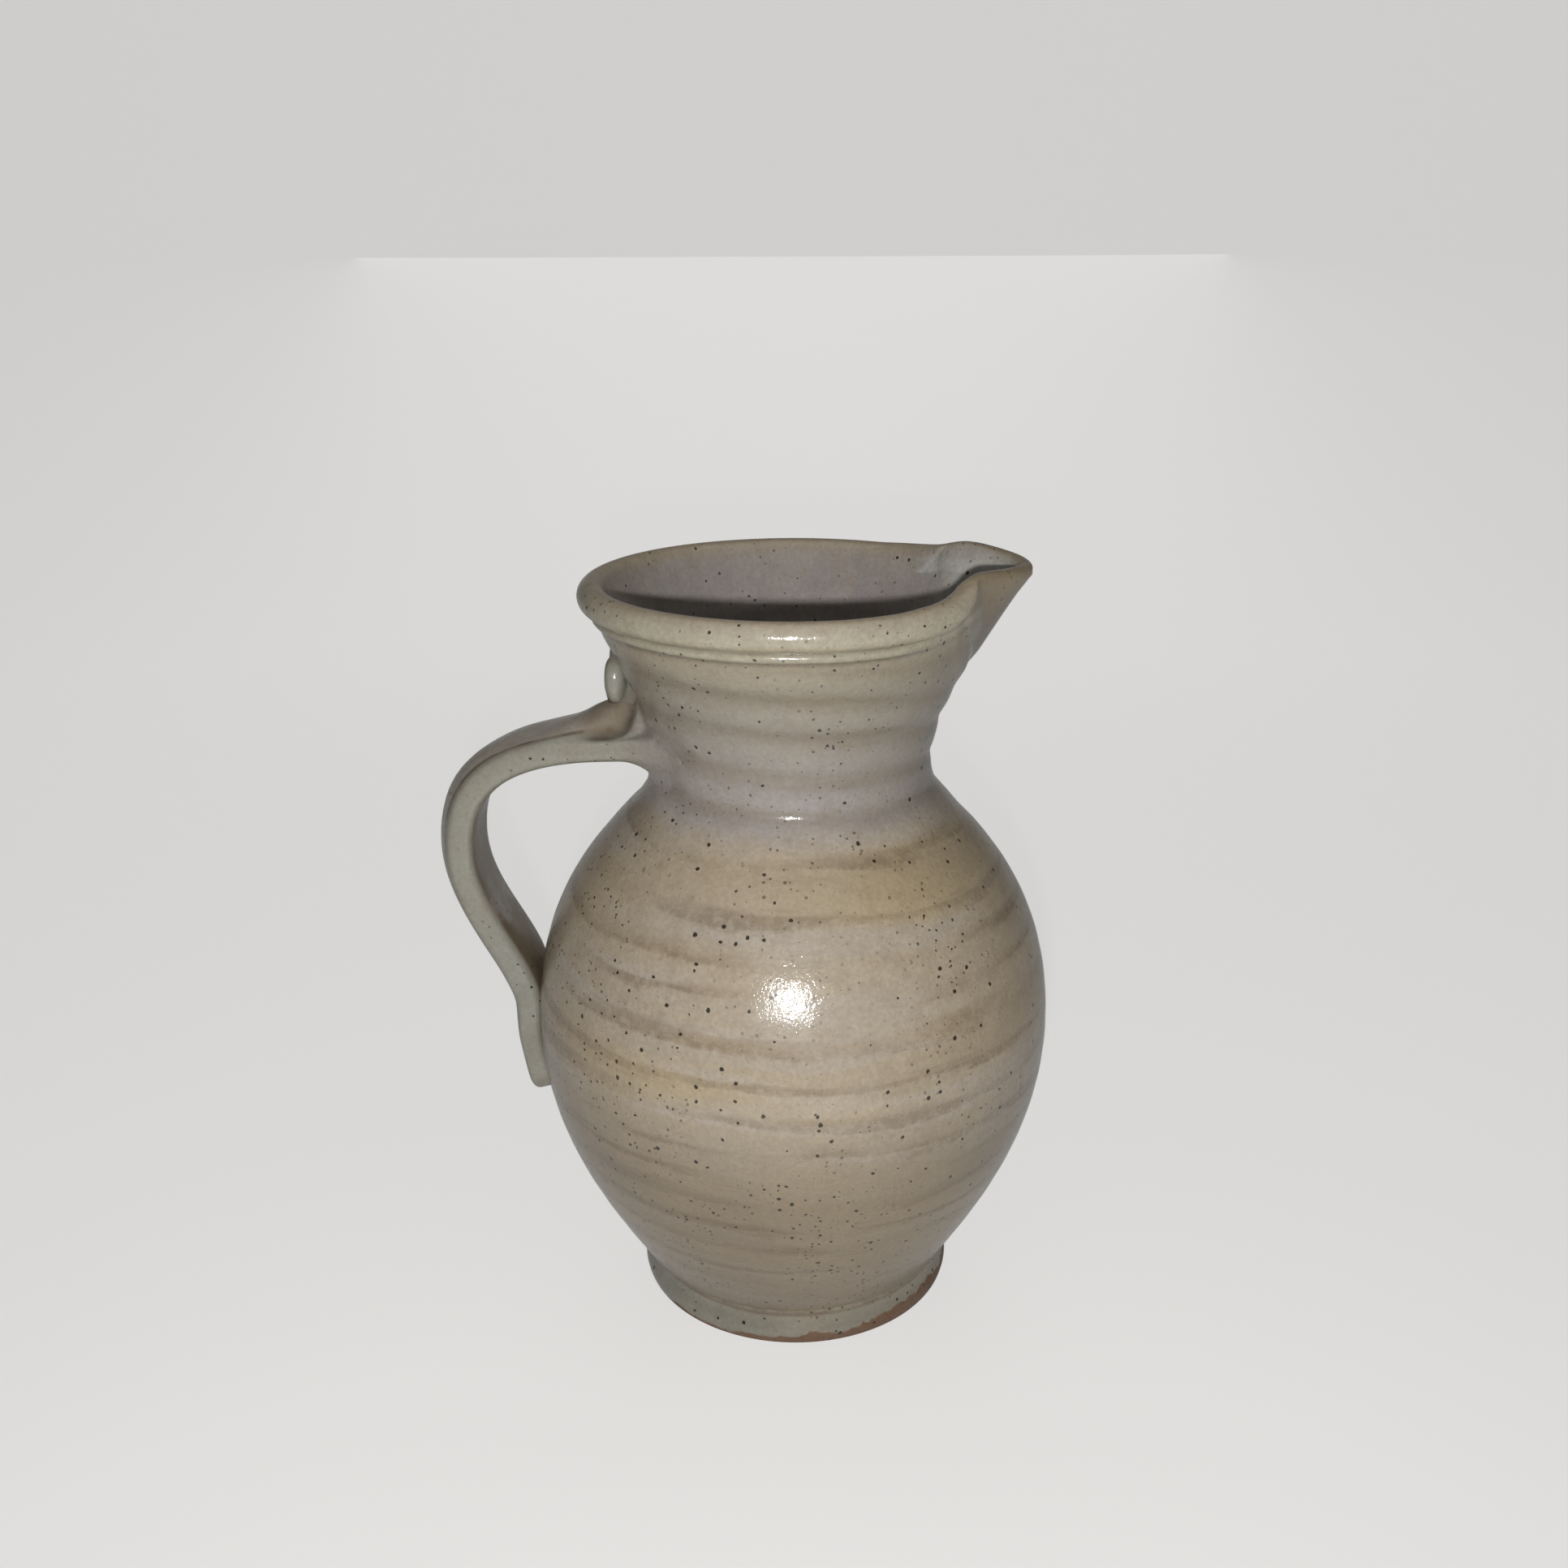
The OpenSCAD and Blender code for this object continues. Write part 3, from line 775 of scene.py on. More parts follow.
def cut_beak_free(wall):
    """Cuts the wall along the beak's sides and foot, parts the beak from it and closes both on the cut."""
    lean = math.atan2(CUT_HALF - TOE_HALF, BODY_HEIGHT - TOE_Z)
    toe = Vector((0, 0, TOE_Z * MM))
    planes = [
        (toe + Vector((0, side * TOE_HALF * MM, 0)), Vector((0, side * math.cos(lean), -math.sin(lean))))
        for side in BEAK_SIDES
    ]
    planes.append((toe, Vector((0, 0, -1))))
    choose(wall)
    bpy.ops.object.mode_set(mode="EDIT")
    bpy.ops.mesh.select_mode(type="FACE")
    for index, (place, normal) in enumerate(planes):
        mesh = bmesh.from_edit_mesh(wall.data)
        for face in mesh.faces:
            middle = face.calc_center_median() / MM
            on_side = index == 2 or middle.y * BEAK_SIDES[index] > -2
            narrow = abs(middle.y) < TOE_HALF + 3 or index < 2
            face.select_set(middle.x > BEAK_SIDE_X and middle.z > TOE_Z - 6 and on_side and narrow)
        bmesh.update_edit_mesh(wall.data)
        bpy.ops.mesh.bisect(plane_co=place, plane_no=normal, threshold=CUT_MERGE)
    mesh = bmesh.from_edit_mesh(wall.data)
    for face in mesh.faces:
        middle = face.calc_center_median()
        inside_cut = all((middle - place).dot(normal) < 0 for place, normal in planes)
        face.select_set(middle.x > BEAK_SIDE_X * MM and inside_cut)
    bmesh.update_edit_mesh(wall.data)
    bpy.ops.mesh.separate(type="SELECTED")
    bpy.ops.object.mode_set(mode="OBJECT")
    beak = next(o for o in bpy.context.selected_objects if o != wall)
    for piece in (wall, beak):
        close_cut(piece, planes)
        lift_rim(piece)
    return beak


def lift_rim(piece):
    """Raises the rim towards the beak by the rise that each point stores."""
    rise = np.zeros(len(piece.data.vertices))
    stored = piece.data.attributes["lift"]
    stored.data.foreach_get("value", rise)
    points = read_points(piece)
    points[:, 2] += rise
    write_points(piece, points)
    piece.data.attributes.remove(stored)


def close_cut(piece, planes):
    """Closes a piece with a flat face on each plane of the beak's cut, and keeps the cut's edges crisp."""
    choose(piece)
    bpy.ops.object.mode_set(mode="EDIT")
    bpy.ops.mesh.select_mode(type="VERT")
    for place, normal in planes:
        bpy.ops.mesh.select_all(action="DESELECT")
        mesh = bmesh.from_edit_mesh(piece.data)
        for vert in mesh.verts:
            on_plane = abs((vert.co - place).dot(normal)) < LINE_MERGE
            vert.select_set(vert.is_boundary and on_plane)
        mesh.select_flush_mode()
        before = len(mesh.faces)
        bmesh.update_edit_mesh(piece.data)
        bpy.ops.mesh.edge_face_add()
        mesh = bmesh.from_edit_mesh(piece.data)
        if len(mesh.faces) == before:
            raise RuntimeError(f"{piece.name} couldn't be closed on the beak's cut")
        bpy.ops.mesh.mark_sharp()
        bpy.ops.mesh.faces_shade_flat()
    open_edges = sum(edge.is_boundary for edge in bmesh.from_edit_mesh(piece.data).edges)
    bpy.ops.object.mode_set(mode="OBJECT")
    if open_edges:
        raise RuntimeError(f"{piece.name} still has {open_edges} open edges")


class PITCHER_OT_throw_body(bpy.types.Operator):
    """Spins the wall's section into the thrown body, shapes its rim and beak, and parts the beak from it"""

    bl_idname = "pitcher.throw_body"
    bl_label = "Throw Body and Beak"

    def execute(self, context):
        clay = context.scene.pitcher_clay
        wall = draw_strokes("pitcher_body", wall_strokes(), BEAK_SECTOR / 2)
        bpy.ops.mesh.select_all(action="SELECT")
        for steps, angle in ((BEAK_STEPS, BEAK_SECTOR), (BACK_STEPS, 2 * math.pi - BEAK_SECTOR)):
            bpy.ops.mesh.spin(steps=steps, angle=angle, center=(0, 0, 0), axis=(0, 0, 1))
        bpy.ops.object.mode_set(mode="OBJECT")
        mend_surface(wall)
        shape_wall(wall, clay)
        beak = cut_beak_free(wall)
        beak.name = "pitcher_beak"
        glaze = context.scene.pitcher_glaze
        finish_piece(wall, "thrown_body", wall_glaze("speckled_tan_glaze", glaze))
        finish_piece(beak, "beak_spout", wall_glaze("thin_tan_glaze", glaze))
        return {"FINISHED"}


# The strap's middle line, as [x, z]: out of the neck, round the bow, down to the belly and along it
def tail_x(height):
    """Distance of the tail's middle from the axis."""
    return -(outer_radius(height) + (TAIL_T - TAIL_BURY) / 2)


ROOT_POINT = np.array((-(outer_radius(ROOT_Z) - ROOT_BURY), ROOT_Z))
BOW_POINT = np.array((-HANDLE_REACH, BOW_Z))
LANDING_POINT = np.array((tail_x(LANDING_Z), LANDING_Z))
LANDING_WAY = np.array((tail_x(LANDING_Z - 1) - tail_x(LANDING_Z), -1.0))
UPPER_STRAP = (ROOT_POINT, ROOT_POINT + (-45, 2.5), BOW_POINT + (0, 28), BOW_POINT)
LOWER_STRAP = (
    BOW_POINT,
    BOW_POINT - (0, 22),
    LANDING_POINT - LANDING_PULL * LANDING_WAY / np.linalg.norm(LANDING_WAY),
    LANDING_POINT,
)
# Distances from the neck at which the root's first rings stand
ROOT_STEPS = (
    -3.2, -2.7, -2.2, -1.7, -1.2, -0.7, -0.35, -0.12, 0.02, 0.1, 0.22, 0.4, 0.65,
    1.0, 1.5, 2.1, 2.8, 3.6, 4.4, 5.2, 6.0, 6.8, 7.6, 8.4, 9.2,
)
# The buried part of the root spreads down to one depth, and draws in to a second, where it is closed
BURIED_SPREAD = 5.0
SPREAD_DEPTH = 1.2
CLOSE_DEPTH = 3.2
SECTION_SIDES = 96
# Stands for the distance from the neck along the strap's lower half
FAR_OFF = 1000.0


def strap_stations():
    """Places along the strap's middle line, its way and run there, and how far its tail is on and over."""
    shares = np.linspace(0, 1, 900)
    upper = bezier(UPPER_STRAP, shares)
    from_neck = -upper[:, 0] - outer_radius(upper[:, 1])
    steps = np.concatenate((ROOT_STEPS, np.arange(10, from_neck[-1] - 6, 1.1)))
    chosen = np.interp(steps, from_neck, shares)
    chosen = np.concatenate((chosen, np.linspace(chosen[-1], 1, 20)[1:]))
    upper = bezier(UPPER_STRAP, chosen)
    lower = bezier(LOWER_STRAP, np.linspace(0, 1, 44)[1:])
    left = np.concatenate((np.linspace(1, 0.2, 22)[1:], 0.2 * np.linspace(1, 0, 9)[1:] ** 2))
    tail_z = LANDING_Z - TAIL_LEN * (1 - left)
    tail = np.column_stack((tail_x(tail_z), tail_z))
    line = np.vstack((upper, lower, tail))
    way = np.gradient(line, axis=0)
    way /= np.linalg.norm(way, axis=1)[:, None]
    run = np.concatenate(((0,), np.cumsum(np.linalg.norm(np.diff(line, axis=0), axis=1))))
    landing_run = run[len(upper) + len(lower) - 1]
    tail_share = smooth((run - landing_run + TAIL_BLEND_START) / TAIL_BLEND)
    left_all = np.concatenate((np.ones(len(upper) + len(lower)), left)) * TAIL_LEN / TAIL_END
    end_share = np.where(left_all >= 1, 1, np.sqrt(np.maximum(1 - (1 - np.minimum(left_all, 1)) ** 2, 0)))
    return line, way, run / run[-1], tail_share, np.maximum(end_share, 0.06)


def root_spread(from_neck, across_t):
    """How far the root spreads on the neck in a fillet, and how its buried part closes."""
    gap, buried = max(from_neck, 0.0), max(-from_neck, 0.0)
    side_flare = mix(SIDE_FLARE, UNDER_FLARE, smooth(-across_t / 0.8))
    flare = mix(side_flare, TOP_FLARE, smooth((across_t - 0.55) / 0.4))
    fillet = flare - np.sqrt(np.maximum(flare**2 - (flare - gap) ** 2, 0))
    spread = np.where(gap < flare, fillet, 0) + BURIED_SPREAD * min(buried, SPREAD_DEPTH)
    return spread * np.clip((CLOSE_DEPTH - buried) / (CLOSE_DEPTH - SPREAD_DEPTH), 0, 1)


def root_tongue(gap, side, across_t):
    """The crease round the tongue on the root's top face, the tongue itself and its raised middle."""
    edge = np.hypot(np.minimum(gap - TONGUE_START, 0) / TONGUE_ROUND, side / TONGUE_HALF)
    off_edge = (edge - 1) * TONGUE_SCALE
    there = smooth((TONGUE_FADE_START - gap) / TONGUE_FADE) * smooth((across_t - 0.35) / 0.3)
    crease = bell(off_edge - 0.4, 0.8) * there
    tongue = smooth(0.5 - off_edge / 2) * there
    raised = smooth(-off_edge / 2.4) * there
    return crease, tongue, raised


def hug_neck(x, side, z, from_neck, clay):
    """Bends the root to the neck's round face and its rings."""
    neck = outer_radius(z)
    turn = np.arctan2(side, -np.sqrt(np.maximum(neck**2 - side**2, 1)))
    neck = neck + ring_relief(z, turn, clay)[0]
    on_neck = -np.sqrt(np.maximum(neck**2 - side**2, 1)) - from_neck
    return mix(x, on_neck, smooth((HUG_START - from_neck) / HUG_LENGTH))


def strap_rings(clay):
    """Rings of points that skin the strap, and for each point the masks that its glaze reads."""
    line, way, share, tail_share, end_share = strap_stations()
    angle = np.linspace(0, 2 * math.pi, SECTION_SIDES, endpoint=False)
    across_w = keep_sign_power(np.cos(angle), STRAP_SQUARE)
    across_t = keep_sign_power(np.sin(angle), STRAP_SQUARE)
    outer_side = across_t > 0
    width, thick = clay.strap_width / MM, clay.strap_thickness / MM
    root_gone = np.linalg.norm(line - ROOT_POINT, axis=1) - ROOT_BURY
    spine = clay.spine_rise / MM * smooth(root_gone / CROWN_LENGTH - 1) * (1 - tail_share)
    edges = np.abs(across_w)
    ridge = np.cos(math.pi / 2 * across_w)
    rings, masks = [], []
    for i, middle in enumerate(line):
        from_neck = -middle[0] - outer_radius(middle[1]) if i < len(line) / 2 else FAR_OFF
        gap = max(from_neck, 0.0)
        crown_share = np.clip(1 - from_neck / CROWN_LENGTH, 0, 1) ** 1.15
        crown = CROWN_RISE * crown_share * ridge**1.2 + spine[i] * ridge**2
        pressed = TAIL_BULGE * bell(middle[1] - TAIL_BULGE_Z, TAIL_BULGE_HALF) * (from_neck == FAR_OFF)
        wide = mix(width, TAIL_W, tail_share[i]) * end_share[i] + pressed
        deep = mix(thick, TAIL_T + TAIL_BURY, tail_share[i]) * mix(0.7, 1, end_share[i])
        waver = 0.25 * math.sin(9 * share[i] * 2 * math.pi / 3) + 0.15 * math.sin(31 * share[i])
        spread = root_spread(from_neck, across_t)
        side = across_w * (wide / 2 + waver) + spread * np.cos(angle)
        outwards = across_t * deep / 2 + np.where(outer_side, crown, 0) + spread * np.sin(angle)
        crease, tongue, raised = root_tongue(gap, side, across_t)
        outwards = outwards - clay.tongue_crease / MM * crease + TONGUE_RISE * raised
        x = middle[0] + way[i][1] * outwards
        z = middle[1] - way[i][0] * outwards
        rings.append(np.column_stack((hug_neck(x, side, z, from_neck, clay), side, z)))
        corner = bell(edges - 0.78, 0.05) * outer_side
        masks.append(
            {
                "outer_face": smooth((0.82 - edges) / 0.08) * outer_side,
                "inner_face": smooth((0.9 - edges) / 0.12) * ~outer_side,
                "corner": corner * (1 - tail_share[i]) * smooth(gap / SIDE_FLARE),
                "run": np.full(SECTION_SIDES, share[i]),
                "near_neck": smooth(1 - gap / 12) * (1 - tongue),
                # Painted shade: the crease round the tongue is darkened in the glaze
                "crease_shade": crease,
                "tongue": tongue,
            }
        )
    return rings, masks


def extrude_rings(piece, rings):
    """Extrudes a loop of edges from ring to ring and closes both ends."""
    write_points(piece, rings[0])
    bpy.ops.object.mode_set(mode="EDIT")
    bpy.ops.mesh.select_mode(type="VERT")
    bpy.ops.mesh.select_all(action="SELECT")
    bpy.ops.mesh.edge_face_add()
    slots = {k: k for k in range(len(rings[0]))}
    for ring in rings[1:]:
        bpy.ops.mesh.extrude_region_move()
        mesh = bmesh.from_edit_mesh(piece.data)
        mesh.verts.index_update()
        fresh = [vert for vert in mesh.verts if vert.select]
        found = {}
        for vert in fresh:
            behind = next(e.other_vert(vert) for e in vert.link_edges if not e.other_vert(vert).select)
            found[vert.index] = slots[behind.index]
            vert.co = Vector(ring[slots[behind.index]]) * MM
        slots = found
        bmesh.update_edit_mesh(piece.data)
    bpy.ops.object.mode_set(mode="OBJECT")


class PITCHER_OT_pull_handle(bpy.types.Operator):
    """Extrudes the strap handle ring by ring, from the root on the neck to the tail on the belly"""

    bl_idname = "pitcher.pull_handle"
    bl_label = "Pull Handle"

    def execute(self, context):
        rings, masks = strap_rings(context.scene.pitcher_clay)
        clear_selection()
        bpy.ops.mesh.primitive_circle_add(vertices=SECTION_SIDES, radius=0.01)
        strap = bpy.context.object
        strap.name = "pitcher_handle"
        extrude_rings(strap, rings)
        points = read_points(strap)
        for name in masks[0]:
            lookup = {
                tuple(np.round(place, 2)): mask
                for ring, values in zip(rings, masks)
                for place, mask in zip(ring, values[name])
            }
            write_mask(strap, name, [lookup.get(tuple(np.round(point, 2)), 0) for point in points])
        mend_surface(strap)
        finish_piece(strap, "strap_handle", handle_glaze(context.scene.pitcher_glaze))
        return {"FINISHED"}


class PITCHER_OT_press_stop(bpy.types.Operator):
    """Presses a ball into the thumb stop, in the corner over the handle's root"""

    bl_idname = "pitcher.press_stop"
    bl_label = "Press Thumb Stop"

    def execute(self, context):
        clear_selection()
        bpy.ops.mesh.primitive_uv_sphere_add(segments=48, ring_count=32, radius=MM)
        stop = bpy.context.object
        stop.name = "pitcher_thumb_stop"
        bpy.ops.object.mode_set(mode="EDIT")
        bpy.ops.mesh.select_all(action="SELECT")
        bpy.ops.transform.rotate(value=math.pi / 2, orient_axis="X", center_override=(0, 0, 0))
        bpy.ops.object.mode_set(mode="OBJECT")
        ball = read_points(stop)
        ball /= np.linalg.norm(ball, axis=1)[:, None]
        across = np.clip(ball[:, 1], -1, 1)
        around = np.arctan2(ball[:, 2], -ball[:, 0])
        out = keep_sign_power(np.cos(around), STOP_SQUARE)
        up = keep_sign_power(np.sin(around), STOP_SQUARE)
        ends = np.abs(across)
        lobe = smooth((ends - LOBE_START) / LOBE_BLEND)
        pinch = LOBE_PINCH * bell(ends - PINCH_PLACE, PINCH_WIDTH)
        rounded = np.sqrt(np.maximum(1 - ends**4, 0))
        depth = (STOP_PROUD + STOP_BURY) / 2
        lean_on = outer_radius(STOP_FOOT_Z + STOP_H / 2) + STOP_PROUD - depth
        deep = mix(depth, LOBE_DEPTH, lobe) * rounded * (1 + 0.15 * up * lobe) - 0.5 * pinch
        high = mix(SADDLE_HALF, LOBE_HEIGHT, lobe) * rounded - pinch
        dent = STOP_DENT * np.cos(math.pi / 2 * across) ** 2 * bell(up - 0.45, 0.6)
        x = mix(-lean_on, -LOBE_REACH, lobe) - out * deep + dent * np.maximum(out, 0)
        z = mix(SADDLE_Z, LOBE_Z, lobe) + up * high
        write_points(stop, np.column_stack((x, across * STOP_W / 2, z)))
        for name in ("outer_face", "inner_face", "corner", "tongue", "run"):
            write_mask(stop, name, np.zeros(len(ball)))
        # Painted shade: the stop's saddle beside the lobes is darkened, most on its lower part
        write_mask(stop, "crease_shade", (1 - lobe) * mix(0.3, 0.8, smooth((-0.1 - up) / 0.5)))
        write_mask(stop, "near_neck", 1 - lobe)
        mend_surface(stop)
        finish_piece(stop, "thumb_stop", handle_glaze(context.scene.pitcher_glaze))
        return {"FINISHED"}


def add_node(tree, kind, inputs=None, **settings):
    """Adds a shader node, sets it, and links or fills its inputs by name or number."""
    made = tree.nodes.new(kind)
    for name, value in settings.items():
        setattr(made, name, value)
    for name, value in (inputs or {}).items():
        if isinstance(value, bpy.types.NodeSocket):
            tree.links.new(value, made.inputs[name])
        else:
            made.inputs[name].default_value = value
    return made


def maths(tree, operation, first, second=0.0, clamp=False):
    """The result of a sum on two values."""
    made = add_node(tree, "ShaderNodeMath", {0: first, 1: second}, operation=operation, use_clamp=clamp)
    return made.outputs[0]


def times(tree, first, *factors, clamp=False):
    """The product of several values."""
    for factor in factors:
        first = maths(tree, "MULTIPLY", first, factor, clamp)
    return first


def shifted(tree, value, pattern, amount):
    """A value that a pattern round a half moves up and down."""
    return maths(tree, "ADD", value, times(tree, maths(tree, "SUBTRACT", pattern, 0.5), amount))


def vector_maths(tree, operation, inputs):
    """The result of a sum on vectors."""
    return add_node(tree, "ShaderNodeVectorMath", inputs, operation=operation).outputs[0]


def ease(tree, value, low, high, to_low=0.0, to_high=1.0):
    """Eases a value from one span to another."""
    inputs = {"Value": value, "From Min": low, "From Max": high, "To Min": to_low, "To Max": to_high}
    return add_node(tree, "ShaderNodeMapRange", inputs, interpolation_type="SMOOTHSTEP").outputs["Result"]


def blend_colour(tree, share, under, over):
    """One colour laid over another."""
    return add_node(tree, "ShaderNodeMix", {0: share, 6: under, 7: over}, data_type="RGBA").outputs[2]


def lay_over(tree, colour, *layers):
    """Lays plain colours over a colour, each by its share."""
    for share, over in layers:
        colour = blend_colour(tree, share, colour, opaque(over))
    return colour


def noise(tree, place, scale, detail=2.0, roughness=0.5):
    """Soft noise at a place."""
    inputs = {"Vector": place, "Scale": scale, "Detail": detail, "Roughness": roughness}
    return add_node(tree, "ShaderNodeTexNoise", inputs).outputs["Fac"]


def stretched(tree, place, scale, offset=(0.0, 0.0, 0.0)):
    """A place with its axes scaled apart, so that a pattern on it is drawn out."""
    inputs = {"Vector": place, "Scale": scale, "Location": offset}
    return add_node(tree, "ShaderNodeMapping", inputs).outputs["Vector"]


def mask_of(tree, name):
    """A value that a piece stores for each of its points."""
    return add_node(tree, "ShaderNodeAttribute", attribute_name=name).outputs["Fac"]


def new_group(name, values, results):
    """An empty node group that takes a place and values and gives values, and its two ends."""
    group = bpy.data.node_groups.new(name, "ShaderNodeTree")
    group.interface.new_socket("Place", in_out="INPUT", socket_type="NodeSocketVector")
    for way, sockets in (("INPUT", values), ("OUTPUT", results)):
        for socket in sockets:
            group.interface.new_socket(socket, in_out=way, socket_type="NodeSocketFloat")
    return group, group.nodes.new("NodeGroupInput"), group.nodes.new("NodeGroupOutput")


def made_once(build):
    """Makes a node group when it is first asked for, under the name of its function."""

    def find():
        return bpy.data.node_groups.get(build.__name__) or build(build.__name__)

    return find


def feed_end(group, end, results):
    """Links results to the sockets at the end of a node group."""
    for name, value in results.items():
        group.links.new(value, end.inputs[name])
    return group


@made_once
def iron_specks(name):
    """Group: iron specks in two sizes, faint freckles between them and blurred spots under the glaze."""
    group, start, end = new_group(name, ["Share"], ["Specks", "Freckles", "Spots"])
    place = start.outputs["Place"]
    wobble = add_node(group, "ShaderNodeTexNoise", {"Vector": place, "Scale": 900.0, "Detail": 1.0})
    shift = vector_maths(group, "SUBTRACT", {0: wobble.outputs["Color"], 1: (0.5, 0.5, 0.5)})
    small_shift = vector_maths(group, "SCALE", {0: shift, "Scale": 0.0007})
    uneven = vector_maths(group, "ADD", {0: place, 1: small_shift})

    def dots(scale, least, most, edge):
        inputs = {"Vector": uneven, "Scale": scale, "Randomness": 1.0}
        cells = add_node(group, "ShaderNodeTexVoronoi", inputs)
        draw = add_node(group, "ShaderNodeSeparateColor", {"Color": cells.outputs["Color"]})
        reach = ease(group, draw.outputs[0], 0.2, 1.0, least, most)
        inside = maths(group, "SUBTRACT", reach, cells.outputs["Distance"])
        shown = maths(group, "LESS_THAN", draw.outputs[1], start.outputs["Share"])
        return times(group, times(group, inside, 1 / edge, clamp=True), shown)

    clumps = ease(group, noise(group, place, 24.0, 2.0), 0.4, 0.62, 0.15, 1.0)
    large = dots(scale=255.0, least=0.03, most=0.195, edge=0.04)
    small = dots(scale=500.0, least=0.03, most=0.28, edge=0.065)
    dust = dots(scale=700.0, least=0.0, most=0.26, edge=0.16)
    spots = dots(scale=105.0, least=0.0, most=0.26, edge=0.2)
    specks = maths(group, "MAXIMUM", large, times(group, small, clumps))
    freckles = times(group, dust, clumps)
    return feed_end(group, end, {"Specks": specks, "Freckles": freckles, "Spots": spots})


@made_once
def throwing_streaks(name):
    """Group: soft bands and brushed lines that follow the throwing rings and break off along them."""
    group, start, end = new_group(name, ["Ring Sine", "Ring Cosine"], ["Dark", "Band", "Pale"])
    place = start.outputs["Place"]
    x, y, z = add_node(group, "ShaderNodeSeparateXYZ", {"Vector": place}).outputs
    climb = maths(group, "ADD", z, times(group, x, 0.035))
    level = shifted(group, climb, noise(group, place, 14.0, 1.0), 0.012)
    ringed = add_node(group, "ShaderNodeCombineXYZ", {"X": x, "Y": y, "Z": level}).outputs["Vector"]
    broad = noise(group, stretched(group, ringed, (6.0, 6.0, 75.0)), 1.0, 2.0)
    brush = noise(group, stretched(group, ringed, (12.0, 12.0, 380.0), (3.0, 1.0, 7.0)), 1.0, 3.0, 0.6)
    breaks = noise(group, stretched(group, ringed, (16.0, 16.0, 60.0), (5.0, 2.0, 1.0)), 1.0, 3.0)
    spans = noise(group, stretched(group, ringed, (9.0, 9.0, 70.0), (2.0, 8.0, 4.0)), 1.0, 1.0)
    sway = noise(group, stretched(group, place, (20.0, 20.0, 90.0), (1.0, 6.0, 3.0)), 1.0, 2.0)
    ragged = noise(group, place, 330.0, 3.0, 0.65)
    angle = maths(group, "ARCTAN2", start.outputs["Ring Sine"], start.outputs["Ring Cosine"])
    turn = maths(group, "DIVIDE", angle, 2 * math.pi)
    for pattern, amount in ((sway, 0.9), (brush, 0.55), (ragged, 0.24)):
        turn = shifted(group, turn, pattern, amount)
    crisp = ease(group, turn, -0.26, -0.06)
    fading = ease(group, turn, ease(group, spans, 0.35, 0.65, 0.16, 0.42), -0.02)
    worn = ease(group, ragged, 0.34, 0.6, 0.6, 1.0)
    line = times(group, crisp, fading, worn, ease(group, breaks, 0.38, 0.6, 0.08, 1.0))
    stray = times(group, ease(group, brush, 0.6, 0.72), ease(group, broad, 0.48, 0.6, 0.0, 0.7))
    dark = maths(group, "MAXIMUM", line, stray)
    band = ease(group, broad, 0.5, 0.68)
    pale = ease(group, broad, 0.5, 0.36)
    return feed_end(group, end, {"Dark": dark, "Band": band, "Pale": pale})


@made_once
def glaze_cloud(name):
    """Group: soft clouds of thicker and thinner glaze, short strokes in which it ran, and its grain."""
    group, start, end = new_group(name, [], ["Cloud", "Runs", "Grain", "Mottle"])
    place = start.outputs["Place"]
    ran = stretched(group, place, (150.0, 150.0, 55.0))
    results = {
        "Cloud": ease(group, noise(group, place, 17.0, 3.0, 0.55), 0.36, 0.64),
        "Runs": ease(group, noise(group, ran, 1.0, 3.0, 0.65), 0.36, 0.66),
        "Grain": noise(group, place, 700.0, 3.0, 0.7),
        "Mottle": ease(group, noise(group, place, 165.0, 4.0, 0.65), 0.4, 0.64),
    }
    return feed_end(group, end, results)


@made_once
def glaze_skin(name):
    """Group: height of the glaze's orange-peel skin."""
    group, start, end = new_group(name, [], ["Height"])
    place = start.outputs["Place"]
    peel = times(group, noise(group, place, 1000.0, 2.0, 0.6), 0.5)
    dimple = times(group, noise(group, place, 240.0, 1.0), 0.6)
    return feed_end(group, end, {"Height": maths(group, "ADD", peel, dimple)})


def group_node(tree, group, inputs):
    """Places a node group in a material and feeds it."""
    return add_node(tree, "ShaderNodeGroup", inputs, node_tree=group)


def glaze_base(name):
    """A new material with its shader, the place on the piece that its patterns read, and its clouds."""
    material = bpy.data.materials.new(name)
    material.use_nodes = True
    tree = material.node_tree
    shader = tree.nodes["Principled BSDF"]
    shader.inputs["IOR"].default_value = GLAZE_IOR
    shader.inputs["Coat Weight"].default_value = COAT_WEIGHT
    shader.inputs["Coat Roughness"].default_value = COAT_ROUGHNESS
    place = add_node(tree, "ShaderNodeTexCoord").outputs["Object"]
    cloud = group_node(tree, glaze_cloud(), {"Place": place})
    return material, tree, shader, place, cloud


def height_colours(tree, height, bands):
    """Colour by height, from bands of (millimetres, colour)."""
    top = bands[-1][0]
    share = maths(tree, "DIVIDE", height, top * MM)
    ramp = add_node(tree, "ShaderNodeValToRGB", {"Fac": share})
    stops = ramp.color_ramp.elements
    while len(stops) < len(bands):
        stops.new(0.5)
    for stop, (millimetres, colour) in zip(stops, bands):
        stop.position = millimetres / top
        stop.color = opaque(colour)
    return ramp.outputs["Color"]


